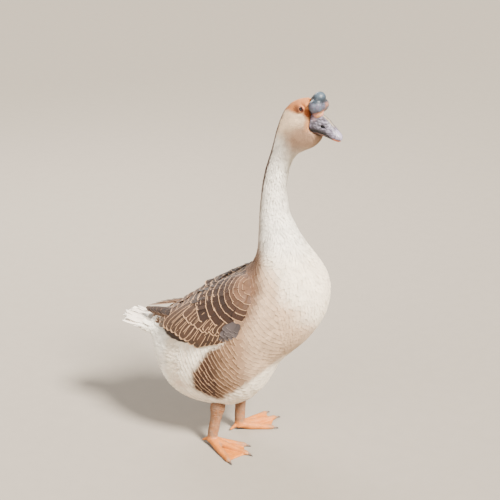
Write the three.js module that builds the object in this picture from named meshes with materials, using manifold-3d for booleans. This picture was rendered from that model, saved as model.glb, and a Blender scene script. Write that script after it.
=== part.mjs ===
// A domestic knobbed goose, standing, life size, in millimetres.
// +X is where the breast faces, +Y is the bird's left, +Z is up. The feet stand on z = 0.
// The bird is one smooth form parted by thin cuts into the pieces a person would name.
import * as THREE from "three";
import { mergeVertices } from "three/addons/utils/BufferGeometryUtils.js";
import Module from "manifold-3d";

const wasm = await Module();
wasm.setup();

// ---------------------------------------------------------------- driving dimensions
const GAP = 0.35; // air between pieces that touch
const RING_SIDES = 28; // facets round the trunk, neck and head
const NECK_STATION = 13; // a ring at each station from here up, and two below
const SLIVER = 0.05; // facets thinner than this are taken out of a finished piece

// The trunk, neck and head are one form. Each station is a slanted section:
// its point on the back line, its point on the belly line, half its width, and how square it is.
const BODY = [
  { back: [-171, 264], belly: [-164, 239], half: 16, square: 2.0 }, // root of the tail
  { back: [-161, 272], belly: [-157, 216], half: 32, square: 2.0 },
  { back: [-142, 283], belly: [-150, 173], half: 50, square: 2.0 }, // rump and vent
  { back: [-112, 298], belly: [-128, 124], half: 70, square: 2.05 },
  { back: [-76, 318], belly: [-91, 93], half: 88, square: 2.1 }, // hanging belly
  { back: [-38, 344], belly: [-34, 82], half: 99, square: 2.15 },
  { back: [-4, 370], belly: [43, 88], half: 104, square: 2.15 },
  { back: [26, 391], belly: [102, 134], half: 105, square: 2.1 },
  { back: [50, 408], belly: [138, 203], half: 102, square: 2.05 },
  { back: [67, 423], belly: [197, 264], half: 97, square: 2.0 },
  { back: [77, 441], belly: [236, 328], half: 89, square: 2.0 }, // breast
  { back: [82, 458], belly: [244, 390], half: 77, square: 2.0 },
  { back: [85, 476], belly: [229, 430], half: 64, square: 2.0 }, // root of the neck
  { back: [86, 498], belly: [201, 463], half: 51.5, square: 2.0 },
  { back: [87, 522], belly: [174, 498], half: 41, square: 2.0 },
  { back: [88.5, 558], belly: [151, 541], half: 32.5, square: 2.0 },
  { back: [92, 600], belly: [143, 594], half: 27.5, square: 2.0 },
  { back: [99, 640], belly: [149, 640], half: 25, square: 2.0 }, // slimmest of the neck
  { back: [108, 672], belly: [159, 662], half: 24, square: 2.0 },
  { back: [117.5, 702], belly: [174, 679], half: 24.5, square: 2.05 },
  { back: [126, 729], belly: [195, 691], half: 25.5, square: 2.1 }, // throat and nape
  { back: [134, 751], belly: [213, 700], half: 26, square: 2.1 },
  { back: [144, 771], belly: [223, 709], half: 25.5, square: 2.1 }, // cheeks
  { back: [158, 785.5], belly: [229, 717], half: 24, square: 2.15 },
  { back: [176, 795.5], belly: [233, 725], half: 22.5, square: 2.2 }, // crown and eyes
  { back: [196, 801], belly: [236, 733], half: 20, square: 2.3 },
  { back: [212, 799], belly: [237, 741], half: 15, square: 2.4 }, // buried under the bill
];
const HEAD_TURN = THREE.MathUtils.degToRad(-18); // the head looks a little to the bird's right
const TURN_AXIS = { x: 130, from: 610, to: 700 }; // the turn grows up the neck between these heights

// Cuts that part the form: a point on the cut and the slant of its normal from +X.
const CUTS = {
  neckRoot: { x: 120, z: 470, slant: 72 },
  neckMiddle: { x: 118, z: 585, slant: 94 },
  headRoot: { x: 140, z: 694, slant: 66 },
  billRoot: { x: 213, z: 768, slant: 0 },
  chinTop: { x: 222, z: 738, slant: 88 }, // the chin reaches forward under the lower bill
};

const EYE = { x: 194.5, y: 16.4, z: 779.5, radius: 7.2 };

// ---------------------------------------------------------------- solids
// A closed geometry as a manifold-3d solid, and back.
function solid(geometry) {
  const bare = new THREE.BufferGeometry();
  bare.setAttribute("position", geometry.getAttribute("position"));
  if (geometry.index) bare.setIndex(geometry.index);
  const merged = mergeVertices(bare, 1e-4);
  const mesh = new wasm.Mesh({
    numProp: 3,
    vertProperties: new Float32Array(merged.attributes.position.array),
    triVerts: new Uint32Array(merged.index.array),
  });
  return new wasm.Manifold(mesh);
}

function geometryOf(manifold) {
  const { numProp, vertProperties, triVerts } = manifold.getMesh();
  const points = new Float32Array((vertProperties.length / numProp) * 3);
  for (let i = 0; i * 3 < points.length; i++) {
    points.set(vertProperties.subarray(i * numProp, i * numProp + 3), i * 3);
  }
  const geometry = new THREE.BufferGeometry();
  geometry.setAttribute("position", new THREE.BufferAttribute(points, 3));
  geometry.setIndex(new THREE.BufferAttribute(new Uint32Array(triVerts), 1));
  return geometry;
}

// Rings of points, each the same length, skinned and capped at both ends.
function skin(rings) {
  const sides = rings[0].length;
  const points = rings.flat();
  const faces = [];
  const at = (ring, side) => ring * sides + (side % sides);
  for (let r = 0; r + 1 < rings.length; r++) {
    for (let s = 0; s < sides; s++) {
      faces.push(at(r, s), at(r, s + 1), at(r + 1, s));
      faces.push(at(r, s + 1), at(r + 1, s + 1), at(r + 1, s));
    }
  }
  for (const [ring, turned] of [[0, true], [rings.length - 1, false]]) {
    const middle = new THREE.Vector3();
    rings[ring].forEach((p) => middle.addScaledVector(p, 1 / sides));
    const centre = points.push(middle) - 1;
    for (let s = 0; s < sides; s++) {
      if (turned) faces.push(centre, at(ring, s + 1), at(ring, s));
      else faces.push(centre, at(ring, s), at(ring, s + 1));
    }
  }
  const geometry = new THREE.BufferGeometry().setFromPoints(points);
  geometry.setIndex(faces);
  const made = solid(geometry);
  return made.volume() < 0 ? solid(geometry.setIndex(faces.reverse())) : made;
}

// Catmull-Rom between the numbers of a list; t runs from 0 to its last index.
function between(values, t) {
  const last = values.length - 1;
  const i = Math.min(Math.floor(t), last - 1);
  const f = t - i;
  const p = (k) => values[THREE.MathUtils.clamp(i + k, 0, last)];
  const a = 2 * p(0);
  const b = p(1) - p(-1);
  const c = 2 * p(-1) - 5 * p(0) + 4 * p(1) - p(2);
  const d = 3 * p(0) - p(-1) - 3 * p(1) + p(2);
  return 0.5 * (a + b * f + c * f * f + d * f * f * f);
}

// A point of a superellipse: angle 0 is up, and a quarter turn is the bird's left.
function superellipse(angle, up, half, square) {
  const power = 2 / square;
  const c = Math.cos(angle);
  const s = Math.sin(angle);
  return [
    up * Math.sign(c) * Math.abs(c) ** power,
    half * Math.sign(s) * Math.abs(s) ** power,
  ];
}

// The turn of the head, as a twist that grows up the neck.
function turned(point) {
  const share = THREE.MathUtils.smoothstep(point.z, TURN_AXIS.from, TURN_AXIS.to);
  const angle = HEAD_TURN * share;
  const x = point.x - TURN_AXIS.x;
  return new THREE.Vector3(
    TURN_AXIS.x + x * Math.cos(angle) - point.y * Math.sin(angle),
    x * Math.sin(angle) + point.y * Math.cos(angle),
    point.z,
  );
}

// A point on the body's surface, before the head's turn: station t, angle round, and height off it.
function bodyPoint(t, angle, off = 0) {
  const pick = (read) => between(BODY.map(read), t);
  const back = [pick((s) => s.back[0]), pick((s) => s.back[1])];
  const belly = [pick((s) => s.belly[0]), pick((s) => s.belly[1])];
  const axis = new THREE.Vector2(back[0] - belly[0], back[1] - belly[1]);
  const up = axis.length() / 2;
  axis.normalize();
  const square = pick((s) => s.square);
  const [rise, aside] = superellipse(angle, up + off, pick((s) => s.half) + off, square);
  return new THREE.Vector3(
    (back[0] + belly[0]) / 2 + axis.x * rise,
    aside,
    (back[1] + belly[1]) / 2 + axis.y * rise,
  );
}

function bodyForm(grow = 0) {
  const stations = BODY.flatMap((_, k) => (k < NECK_STATION ? [k, k + 0.5] : [k]));
  const rings = stations.map((t) => {
    const ring = [];
    for (let s = 0; s < RING_SIDES; s++) {
      ring.push(turned(bodyPoint(t, (2 * Math.PI * s) / RING_SIDES, grow)));
    }
    return ring;
  });
  return skin(rings);
}

// A tapered limb: stations along a path, each { at: [x, y, z], up, down, side, square }, with its
// sections square to the path. `side` lies along `across`, or level with the ground by itself.
function limb(stations, { sides = 12, warp = (p) => p, grow = 0, across } = {}) {
  const rings = stations.map((station, k) => {
    const centre = new THREE.Vector3(...station.at);
    const ahead = new THREE.Vector3(...stations[Math.min(k + 1, stations.length - 1)].at);
    ahead.sub(new THREE.Vector3(...stations[Math.max(k - 1, 0)].at)).normalize();
    const level = across ? across.clone() : new THREE.Vector3(0, 0, 1).cross(ahead);
    level.addScaledVector(ahead, -level.dot(ahead)).normalize();
    const rise = ahead.clone().cross(level);
    const { up, side, down = up, square = 2 } = station;
    const ring = [];
    for (let s = 0; s < sides; s++) {
      const [u, v] = superellipse((2 * Math.PI * s) / sides, 1, 1, square);
      const reach = (u < 0 ? down : up) + grow;
      ring.push(
        warp(centre.clone().addScaledVector(rise, u * reach).addScaledVector(level, v * (side + grow))),
      );
    }
    return ring;
  });
  return skin(rings);
}

function ball({ at, radii, turn = 0, warp = (p) => p, grow = 0, detail = [14, 9] }) {
  const geometry = new THREE.SphereGeometry(1, ...detail);
  geometry.scale(...radii.map((r) => r + grow));
  geometry.rotateY(turn);
  geometry.translate(...at);
  const place = geometry.getAttribute("position");
  for (let i = 0; i < place.count; i++) {
    const p = warp(new THREE.Vector3().fromBufferAttribute(place, i));
    place.setXYZ(i, p.x, p.y, p.z);
  }
  return solid(geometry);
}

// The normal and offset of a cut, turned with the head where the cut lies.
function plane({ x, z, slant }) {
  const tilt = THREE.MathUtils.degToRad(slant);
  const through = turned(new THREE.Vector3(x, 0, z));
  const share = THREE.MathUtils.smoothstep(z, TURN_AXIS.from, TURN_AXIS.to);
  const normal = new THREE.Vector3(Math.cos(tilt), 0, Math.sin(tilt));
  normal.applyAxisAngle(new THREE.Vector3(0, 0, 1), HEAD_TURN * share);
  return { normal, offset: normal.dot(through) };
}

const beyond = (form, cut, by = GAP / 2) => {
  const { normal, offset } = plane(cut);
  return form.trimByPlane(normal.toArray(), offset + by);
};
const before = (form, cut, by = GAP / 2) => {
  const { normal, offset } = plane(cut);
  return form.trimByPlane(normal.clone().negate().toArray(), by - offset);
};

// ---------------------------------------------------------------- materials
const finish = (color, roughness) =>
  new THREE.MeshStandardMaterial({ color, roughness, metalness: 0 });
const FINISHES = {
  cream: finish(0xe9dfcf, 0.85),
  cap: finish(0xb98a63, 0.85),
  flank: finish(0xb59f8a, 0.85),
  brown: finish(0x6f5a49, 0.8),
  dark: finish(0x4a3b32, 0.75),
  white: finish(0xf3efe6, 0.85),
  orange: finish(0xd98350, 0.6),
  claw: finish(0x6d5a4c, 0.45),
  bill: finish(0x5d5a60, 0.5),
  knob: finish(0x6c7580, 0.45),
  eye: finish(0x2a1710, 0.08),
};

const goose = new THREE.Group();
function piece(name, manifold, look) {
  const largest = manifold
    .decompose()
    .reduce((a, b) => (a.volume() > b.volume() ? a : b));
  const mesh = new THREE.Mesh(geometryOf(largest.simplify(SLIVER)), FINISHES[look]);
  mesh.name = name;
  goose.add(mesh);
}

// ---------------------------------------------------------------- trunk, neck and head
const body = bodyForm();
const bodyClear = bodyForm(GAP);

piece("trunk", before(body, CUTS.neckRoot), "flank");
piece("neck_lower", beyond(before(body, CUTS.neckMiddle), CUTS.neckRoot), "cream");
piece("neck_upper", beyond(before(body, CUTS.headRoot), CUTS.neckMiddle), "cream");

// ---------------------------------------------------------------- bill, knob and eyes
// The stations follow the line of the mouth: the upper half rises from it, the lower half hangs.
const BILL_UPPER = [
  { at: [206, 0, 743], up: 33, down: 2.4, side: 17.5, square: 2.2 },
  { at: [218, 0, 743], up: 32, down: 2.4, side: 17.5, square: 2.2 },
  { at: [231, 0, 742.5], up: 29, down: 2.4, side: 16.4, square: 2.1 },
  { at: [243, 0, 740.8], up: 23.5, down: 2.4, side: 15, square: 2.1 },
  { at: [254, 0, 738], up: 17, down: 2.4, side: 14, square: 2.1 },
  { at: [264, 0, 734.5], up: 12, down: 2.4, side: 13.4, square: 2.1 },
  { at: [272, 0, 731.6], up: 9, down: 2.4, side: 11.6, square: 2 },
  { at: [277, 0, 729.8], up: 5.5, down: 2.2, side: 7.5, square: 2 },
  { at: [279.5, 0, 729], up: 2.5, down: 1.4, side: 3, square: 2 },
];
const BILL_LOWER = [
  { at: [208, 0, 738.5], up: 5, down: 6.5, side: 15 },
  { at: [224, 0, 738], up: 5, down: 6, side: 14 },
  { at: [240, 0, 736.5], up: 5, down: 5.5, side: 12.6 },
  { at: [254, 0, 733.2], up: 5, down: 5, side: 11.4 },
  { at: [266, 0, 729.4], up: 4, down: 4.2, side: 9.6 },
  { at: [273, 0, 727.2], up: 2.4, down: 3.2, side: 6.5 },
  { at: [277, 0, 726], up: 1.2, down: 1.8, side: 3 },
];
const NOSTRIL = { at: [243, 12.6, 751.5], radii: [5.4, 3, 2.8], turn: 0.5 };

// The knob is a ball on a broad two-sided swelling, with a wart where it meets the bill.
const KNOB = [
  { at: [225.5, 0, 804.5], radii: [11.4, 12, 11.4] },
  { at: [217, 0, 800], radii: [9, 9.5, 9] },
  { at: [223.5, 10.5, 788.5], radii: [14.5, 12, 13] },
  { at: [223.5, -10.5, 788.5], radii: [14.5, 12, 13] },
  { at: [219, 0, 784], radii: [14, 17, 15.5] },
  { at: [226, -3, 771], radii: [9, 10, 9] },
];
const merge = (solids) => solids.reduce((a, b) => a.add(b));
const knobForm = (grow) => merge(KNOB.map((k) => ball({ ...k, warp: turned, grow })));
const billUpper = (grow) => limb(BILL_UPPER, { sides: 18, warp: turned, grow });
const billLower = (grow) => limb(BILL_LOWER, { sides: 14, warp: turned, grow });

const eyeForm = (side, grow) =>
  ball({
    at: [EYE.x, side * EYE.y, EYE.z],
    radii: [EYE.radius, EYE.radius, EYE.radius],
    warp: turned,
    grow,
  });
const face = before(body, CUTS.billRoot);
const chin = before(body, CUTS.chinTop).subtract(billLower(GAP));
const skull = beyond(face.add(chin), CUTS.headRoot);
const faceClear = before(bodyClear, CUTS.billRoot, -GAP);
piece("head", skull.subtract(eyeForm(1, GAP)).subtract(eyeForm(-1, GAP)), "cap");
piece("eye_right", eyeForm(-1, 0), "eye");
piece("eye_left", eyeForm(1, 0), "eye");

const nostrils = [1, -1].map((side) =>
  ball({
    at: [NOSTRIL.at[0], side * NOSTRIL.at[1], NOSTRIL.at[2]],
    radii: NOSTRIL.radii,
    turn: NOSTRIL.turn,
    warp: turned,
    detail: [8, 6],
  }),
);
const upper = nostrils.reduce((bill, hole) => bill.subtract(hole), billUpper(0));
const lower = billLower(0).subtract(billUpper(GAP));
piece("bill_upper", upper.subtract(faceClear), "bill");
piece("bill_lower", lower.subtract(faceClear), "bill");
piece("knob", knobForm(0).subtract(billUpper(GAP)).subtract(faceClear), "knob");

// ---------------------------------------------------------------- wings and tail
// A folded wing is a plate on the body's own surface: it starts at the shoulder station, ends in
// the long inner flight feathers over the rump, and laps round the back. Its edge stands proud.
const WING = {
  shoulder: 9.3,
  tip: 2.4,
  sunk: 8, // how far it is let into the body before the body is cut away from it
  edge: 0.4, // height of the edge as a share of the thickness
  thick: [8, 12, 14, 17, 20, 17, 9],
  top: [0.62, 0.34, 0.2, 0.12, 0.1, 0.2, 0.36],
  bottom: [0.9, 1.2, 1.34, 1.31, 1.19, 1.06, 0.78],
  across: 10,
  along: 13,
};
function wingForm(side, grow = 0) {
  const eased = (share) => 0.5 - 0.5 * Math.cos(Math.PI * share); // closer towards the rims
  const rings = [];
  for (let i = 0; i <= WING.along; i++) {
    const share = eased(i / WING.along);
    const pick = (values) => between(values, share * (values.length - 1));
    const t = THREE.MathUtils.lerp(WING.shoulder, WING.tip, share);
    const full = WING.edge + (1 - WING.edge) * Math.sin(Math.PI * share) ** 0.5;
    const outer = [];
    const inner = [];
    for (let j = 0; j <= WING.across; j++) {
      const b = eased(j / WING.across);
      const rise = WING.edge + (full - WING.edge) * Math.sin(Math.PI * b) ** 0.7;
      const angle = side * THREE.MathUtils.lerp(pick(WING.top), pick(WING.bottom), b);
      outer.push(bodyPoint(t, angle, pick(WING.thick) * rise + grow));
      inner.unshift(bodyPoint(t, angle, -WING.sunk));
    }
    rings.push([...outer, ...inner]);
  }
  return skin(rings);
}

// The outer flight feathers reach out from under the wing and lie over the root of the tail.
const PRIMARIES = [
  { at: [-62, 58, 300], up: 7, side: 26 },
  { at: [-92, 48, 293], up: 6.5, side: 25 },
  { at: [-122, 33, 289], up: 5, side: 20 },
  { at: [-150, 20, 287], up: 3.6, side: 14 },
  { at: [-168, 12, 286], up: 2.4, side: 8 },
  { at: [-178, 8, 285], up: 1.2, side: 3 },
];
const sided = (stations, side) =>
  stations.map((s) => ({ ...s, at: [s.at[0], side * s.at[1], s.at[2]] }));
const primariesForm = (side, grow) => limb(sided(PRIMARIES, side), { sides: 12, grow });

const TAIL = [
  { at: [-130, 0, 244], up: 32, side: 38 },
  { at: [-155, 0, 246], up: 26, side: 40 },
  { at: [-180, 0, 249], up: 17, side: 40, square: 2.1 },
  { at: [-202, 0, 253], up: 10, side: 38, square: 2.2 },
  { at: [-220, 0, 258], up: 5.5, side: 32, square: 2.2 },
  { at: [-231, 0, 261.5], up: 2.4, side: 20, square: 2.2 },
];
const tail = limb(TAIL, { sides: 18 });

// ---------------------------------------------------------------- legs
const LEG = {
  hock: { left: [28, 38, 87], right: [6, 48, 87] },
  heel: { left: [29, 26, 7], right: [-5, 58, 7] },
  ankle: 17, // height of the cut between shank and foot
};
const SHANK = [ // share of the way from heel to hock, size along the bird and across it
  { share: 0, up: 11.5, side: 10.5 },
  { share: 0.15, up: 11.3, side: 10 },
  { share: 0.35, up: 10.8, side: 9 },
  { share: 0.6, up: 10.8, side: 9 },
  { share: 0.8, up: 12.2, side: 10.4 },
  { share: 0.98, up: 16, side: 13.2 },
  { share: 1.15, up: 15.5, side: 13.2 },
  { share: 1.5, up: 15, side: 13 }, // inside the trunk
];
const TOES = { // outward turn of each toe from straight ahead, in degrees
  left: { inner: 20, middle: 49, outer: 68 },
  right: { inner: -11, middle: 11, outer: 43 },
};
const TOE_REACH = { inner: 78, middle: 96, outer: 92 }; // heel to where the claw starts
const TOE_THICK = { root: 8, tip: 5.4 };
const CLAW_LENGTH = 11;
const WEB = { thick: 2.6, dip: 0.06, short: 5 };
const HIND_TOE = { length: 17, thick: 3.6 };
const ACROSS = new THREE.Vector3(0, 1, 0);

function toePath(foot, toe, side) {
  const away = THREE.MathUtils.degToRad(side * TOES[foot][toe]);
  const [x, y] = LEG.heel[foot];
  const ahead = new THREE.Vector3(Math.cos(away), Math.sin(away), 0);
  const heel = new THREE.Vector3(x, side * y, 0);
  return (reach, height) => heel.clone().addScaledVector(ahead, reach).setZ(height);
}

function toeForm(foot, toe, side) {
  const path = toePath(foot, toe, side);
  const reach = TOE_REACH[toe];
  const { root, tip } = TOE_THICK;
  const joints = [-6, 0.08 * reach, 0.35 * reach, 0.55 * reach, 0.78 * reach, reach - 6, reach];
  const heights = [12, 10.5, root * 0.8, root * 0.72, tip * 0.8, tip * 0.78, tip * 0.6];
  const thick = [8.5, 8.6, root, root * 0.9, tip * 1.08, tip, tip * 0.62];
  const stations = joints.map((at, k) => ({
    at: path(at, heights[k]).toArray(),
    up: thick[k],
    side: thick[k],
  }));
  return limb(stations, { sides: 8 });
}

function clawForm(foot, toe, side) {
  const path = toePath(foot, toe, side);
  const reach = TOE_REACH[toe] + GAP;
  const tip = TOE_THICK.tip;
  return limb(
    [
      { at: path(reach, tip * 0.72).toArray(), up: 2.5, side: 2.6 },
      { at: path(reach + CLAW_LENGTH * 0.5, tip * 0.62).toArray(), up: 2, side: 2 },
      { at: path(reach + CLAW_LENGTH, 0.9).toArray(), up: 0.6, side: 0.7 },
    ],
    { sides: 8 },
  );
}

// The web is a thin plate whose front edge dips in between the toes.
function webForm(foot, side) {
  const rim = [];
  for (const toe of Object.keys(TOE_REACH)) {
    const path = toePath(foot, toe, side);
    const tip = path(TOE_REACH[toe] - WEB.short, 0);
    if (rim.length > 0) {
      const last = rim[rim.length - 1];
      const dip = last.clone().add(tip).multiplyScalar(0.5).lerp(path(0, 0), WEB.dip);
      const bow = new THREE.QuadraticBezierCurve3(last, dip, tip);
      rim.push(...bow.getPoints(5).slice(1, -1));
    }
    rim.push(tip);
  }
  const heel = toePath(foot, "middle", side)(4, 0);
  const outline = [heel, ...rim].map((p) => new THREE.Vector2(p.x, p.y));
  if (THREE.ShapeUtils.area(outline) < 0) outline.reverse();
  const plate = new THREE.ExtrudeGeometry(new THREE.Shape(outline), {
    depth: WEB.thick,
    bevelEnabled: false,
  });
  return solid(plate);
}

function legForm(foot, side) {
  const heel = new THREE.Vector3(...LEG.heel[foot]);
  const hock = new THREE.Vector3(...LEG.hock[foot]);
  const stations = SHANK.map(({ share, ...size }) => ({
    at: heel.clone().lerp(hock, share).toArray(),
    ...size,
  }));
  const shank = limb(sided(stations, side), { sides: 14, across: ACROSS });
  const toes = Object.keys(TOE_REACH).map((toe) => toeForm(foot, toe, side));
  const back = toePath(foot, "middle", side);
  const hind = limb(
    [
      { at: back(-4, 14).toArray(), up: 4.4, side: 4.4 },
      { at: back(-13, 9).toArray(), up: HIND_TOE.thick, side: HIND_TOE.thick },
      { at: back(-7 - HIND_TOE.length, 3.2).toArray(), up: 1.8, side: 1.8 },
    ],
    { sides: 8 },
  );
  return merge([shank, ...toes, webForm(foot, side), hind]).trimByPlane([0, 0, 1], 0);
}

const SIDES = { right: -1, left: 1 };
const legs = {};
for (const [foot, side] of Object.entries(SIDES)) {
  legs[foot] = legForm(foot, side);
  const shank = legs[foot].trimByPlane([0, 0, 1], LEG.ankle + GAP / 2);
  piece(`shank_${foot}`, shank.subtract(bodyClear), "orange");
  piece(`foot_${foot}`, legs[foot].trimByPlane([0, 0, -1], GAP / 2 - LEG.ankle), "orange");
  for (const toe of Object.keys(TOE_REACH)) {
    piece(`claw_${foot}_${toe}`, clawForm(foot, toe, side), "claw");
  }
  const wing = wingForm(side).subtract(bodyClear);
  piece(`wing_${foot}`, wing, "brown");
  const blade = primariesForm(side, 0).subtract(bodyClear).subtract(wingForm(side, GAP));
  piece(`primaries_${foot}`, blade, "dark");
}
const bladesClear = merge(Object.values(SIDES).map((side) => primariesForm(side, GAP)));
piece("tail", tail.subtract(bodyClear).subtract(bladesClear), "white");

// The part's origin is on the floor, under the middle of the bird's box.
const box = new THREE.Box3().setFromObject(goose);
const middle = box.getCenter(new THREE.Vector3());
goose.position.set(-middle.x, -middle.y, -box.min.z);

export default goose;
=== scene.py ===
import itertools
import math

import bmesh
import bpy
import numpy as np
from mathutils import Matrix, Vector, noise
from mathutils.bvhtree import BVHTree


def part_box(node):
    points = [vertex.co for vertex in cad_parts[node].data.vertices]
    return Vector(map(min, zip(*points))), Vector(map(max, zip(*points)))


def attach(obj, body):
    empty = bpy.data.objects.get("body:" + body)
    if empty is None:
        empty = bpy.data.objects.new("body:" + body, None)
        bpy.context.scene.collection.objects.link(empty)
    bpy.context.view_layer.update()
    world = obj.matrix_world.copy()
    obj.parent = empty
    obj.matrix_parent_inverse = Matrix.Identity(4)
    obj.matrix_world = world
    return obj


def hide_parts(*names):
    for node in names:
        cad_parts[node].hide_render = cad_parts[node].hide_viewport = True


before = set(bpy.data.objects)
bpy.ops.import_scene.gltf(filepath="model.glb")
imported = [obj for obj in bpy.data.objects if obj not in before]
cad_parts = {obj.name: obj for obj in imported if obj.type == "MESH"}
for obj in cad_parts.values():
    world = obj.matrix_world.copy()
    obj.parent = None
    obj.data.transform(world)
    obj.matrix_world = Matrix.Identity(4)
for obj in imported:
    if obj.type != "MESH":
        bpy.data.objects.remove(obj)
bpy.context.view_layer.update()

# ---- Camera, floor and lights
# A plain pale floor under soft studio light: a warm key light, a wide fill on the bird's right, a light
# from behind and a weak even sky. The bird's own measures are millimetres from the point on the floor
# between its feet, and the right eye says where that point lies in the frame.
RIGHT_EYE = Vector((186.27, -35.53, 779.5))
CAMERA_PLACE = (906.6, -2243.8, 1400)
CAMERA_PITCH = 21.57
CAMERA_TURN = 20.57
CAMERA_LENS = 87.55
LIT_PLACE = (60, 0, 350)
FLOOR_SIZE = 14.0
TONE_DEPTH = 1.35
CLOUD_RANGE = (0.35, 0.65)

eye_low, eye_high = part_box("eye_right")
SPOT = (eye_low + eye_high) / 2 - RIGHT_EYE * 0.001
SPOT.z = 0.0


def spot(x, y, z):
    """A place given in the bird's own millimetres, in the frame's metres."""
    return SPOT + Vector((x, y, z)) * 0.001


camera_lens = bpy.data.cameras.new("camera")
camera_lens.sensor_width = 36
camera_lens.lens = CAMERA_LENS
camera = bpy.data.objects.new("camera", camera_lens)
camera.location = spot(*CAMERA_PLACE)
camera.rotation_euler = (math.radians(90 - CAMERA_PITCH), 0, math.radians(CAMERA_TURN))
bpy.context.scene.collection.objects.link(camera)
bpy.context.scene.camera = camera


def studio_light(name, kind, place, power, colour, **shape):
    """A light that faces the bird's middle."""
    light = bpy.data.lights.new(name, kind)
    light.energy = power
    light.color = colour
    for setting, value in shape.items():
        setattr(light, setting, value)
    lamp = bpy.data.objects.new(name, light)
    lamp.location = spot(*place)
    lamp.rotation_euler = (spot(*LIT_PLACE) - lamp.location).to_track_quat("-Z", "Y").to_euler()
    bpy.context.scene.collection.objects.link(lamp)


studio_light("key", "SUN", (1500, -700, 2100), 17.0, (1.0, 0.94, 0.86), angle=math.radians(14))
studio_light("fill", "AREA", (-900, -2400, 1500), 76, (1.0, 0.965, 0.93), size=2.0)
studio_light("back", "AREA", (-1300, 1400, 1900), 70, (1.0, 0.96, 0.92), size=1.2)
sky = bpy.data.worlds.new("sky")
sky.use_nodes = True
sky_light = sky.node_tree.nodes["Background"].inputs
sky_light["Color"].default_value = (1.0, 0.97, 0.93, 1)
sky_light["Strength"].default_value = 0.3
bpy.context.scene.world = sky


def tone(code):
    """A colour written as six hex digits, in linear values, deepened because soft light pales it."""
    values = [int(code[k:k + 2], 16) / 255 for k in (0, 2, 4)]
    linear = np.array([v / 12.92 if v <= 0.04045 else ((v + 0.055) / 1.055) ** 2.4 for v in values])
    return linear ** TONE_DEPTH


def made_material(name, roughness):
    """An empty finish: the material, its node tree and its shader."""
    material = bpy.data.materials.new(name)
    material.use_nodes = True
    tree = material.node_tree
    shader = tree.nodes["Principled BSDF"]
    shader.inputs["Roughness"].default_value = roughness
    return material, tree, shader


def node(tree, kind, inputs=(), **settings):
    """A new node whose inputs take values or another node's outputs."""
    made = tree.nodes.new("ShaderNode" + kind)
    for setting, value in settings.items():
        setattr(made, setting, value)
    for socket, value in dict(inputs).items():
        if isinstance(value, bpy.types.NodeSocket):
            tree.links.new(value, made.inputs[socket])
        else:
            made.inputs[socket].default_value = value
    return made


def stored(tree, name, output="Color"):
    """What a mesh stores under a name."""
    return node(tree, "Attribute", attribute_name=name).outputs[output]


def mottle(tree, scale, low, high, detail=3.0):
    """A grey noise on the bird's own coordinates, between two values."""
    place = node(tree, "TexCoord").outputs["Object"]
    cloud = node(tree, "TexNoise", {"Scale": scale, "Detail": detail, "Vector": place}).outputs["Fac"]
    start, end = CLOUD_RANGE
    spread = {"From Min": start, "From Max": end, "To Min": low, "To Max": high, "Value": cloud}
    return node(tree, "MapRange", spread).outputs["Result"]


def shaded(tree, colour, grey):
    """A colour times a grey."""
    both = {"Factor": 1.0, "A": colour, "B": grey}
    return node(tree, "Mix", both, data_type="RGBA", blend_type="MULTIPLY").outputs["Result"]


def relief(tree, shader, height, strength, depth):
    """Gives a shader fine relief."""
    bump = node(tree, "Bump", {"Strength": strength, "Distance": depth, "Height": height})
    tree.links.new(bump.outputs["Normal"], shader.inputs["Normal"])


floor_finish, floor_tree, floor_shader = made_material("floor_pale", 0.9)
floor_tone = node(floor_tree, "RGB").outputs[0]
floor_tone.default_value = (*tone("a59e94"), 1)
floor_grain = mottle(floor_tree, 30, 0.985, 1.015)
floor_tree.links.new(shaded(floor_tree, floor_tone, floor_grain), floor_shader.inputs["Base Color"])


def mesh_object(name, bm, material):
    """The finished mesh as an object at the origin, with its finish."""
    mesh = bpy.data.meshes.new(name)
    bm.to_mesh(mesh)
    bm.free()
    mesh.materials.append(material)
    piece = bpy.data.objects.new(name, mesh)
    bpy.context.scene.collection.objects.link(piece)
    return piece


floor_mesh = bmesh.new()
bmesh.ops.create_grid(floor_mesh, x_segments=1, y_segments=1, size=FLOOR_SIZE)
floor = mesh_object("floor", floor_mesh, floor_finish)

# ---- Skin
# The bird's one skin runs from the bill to the tail, over the neck, the trunk and the folded wings.
# It lies under the feathers by their depth, with lids round the eyes, and carries the coat's markings:
# cream neck and belly, beige breast sides, brown flanks, back and wings, and a tan cap. It also carries
# painted shade on the back of the neck, before each folded wing and, with the throat's own tan, under the
# head.
FLESH = ["trunk", "neck_lower", "neck_upper", "head", "wing_right", "wing_left", "tail"]
SKIN_VOXEL = 0.003
SKIN_RELAXED = 14
SEAM_PUFF = 0.0006
MERGE_GAP = 0.00001
THICKEST_WALL = 0.05
DRIFT_SIZE = 34
FINE_SIZE = 11
COAT_DEPTH = {"head": 0.0012, "neck": 0.0034, "trunk": 0.0052}
THIN_WALL_SHARE = 0.38
NECK_FOOT = (430, 520)
NECK_TOP = (670, 730)
HEAD_TURN = math.radians(-18)
TURN_AXIS = 130
TURN_HEIGHTS = (610, 700)
CREAM = tone("f8ecd8")
SNOW = tone("fcf6ea")
MOTTLED_GREY = tone("cfcac2")
BEIGE = tone("cfb498")
PALE_BEIGE = tone("dfc8ad")
EDGE_BEIGE = tone("cbad8c")
MID_BROWN = tone("9a7c62")
WING_SHADE_BROWN = tone("755945")
FLANK_EDGE = tone("c4a78c")
FLANK_BROWN = tone("5a402c")
BACK_BROWN = tone("876a54")
BACK_EDGE = tone("ac8f78")
WING_BROWN = tone("463122")
PALE_EDGE = tone("cbac8d")
WING_LILAC = tone("6b6261")
RUMP_GREY = tone("6b5240")
STAIN = tone("cf9f82")
CAP_TAN = tone("d69a68")
CAP_GOLD = tone("bb8247")
CHEEK = tone("f3ddc0")
RUST = tone("a8632d")
LORE_PURPLE = tone("6d3d35")
THROAT_TAN_AND_SHADE = tone("b89c84")
NAPE_BROWN = tone("5f3a22")
NAPE_SHADE_GREY = tone("a38a72")
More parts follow.
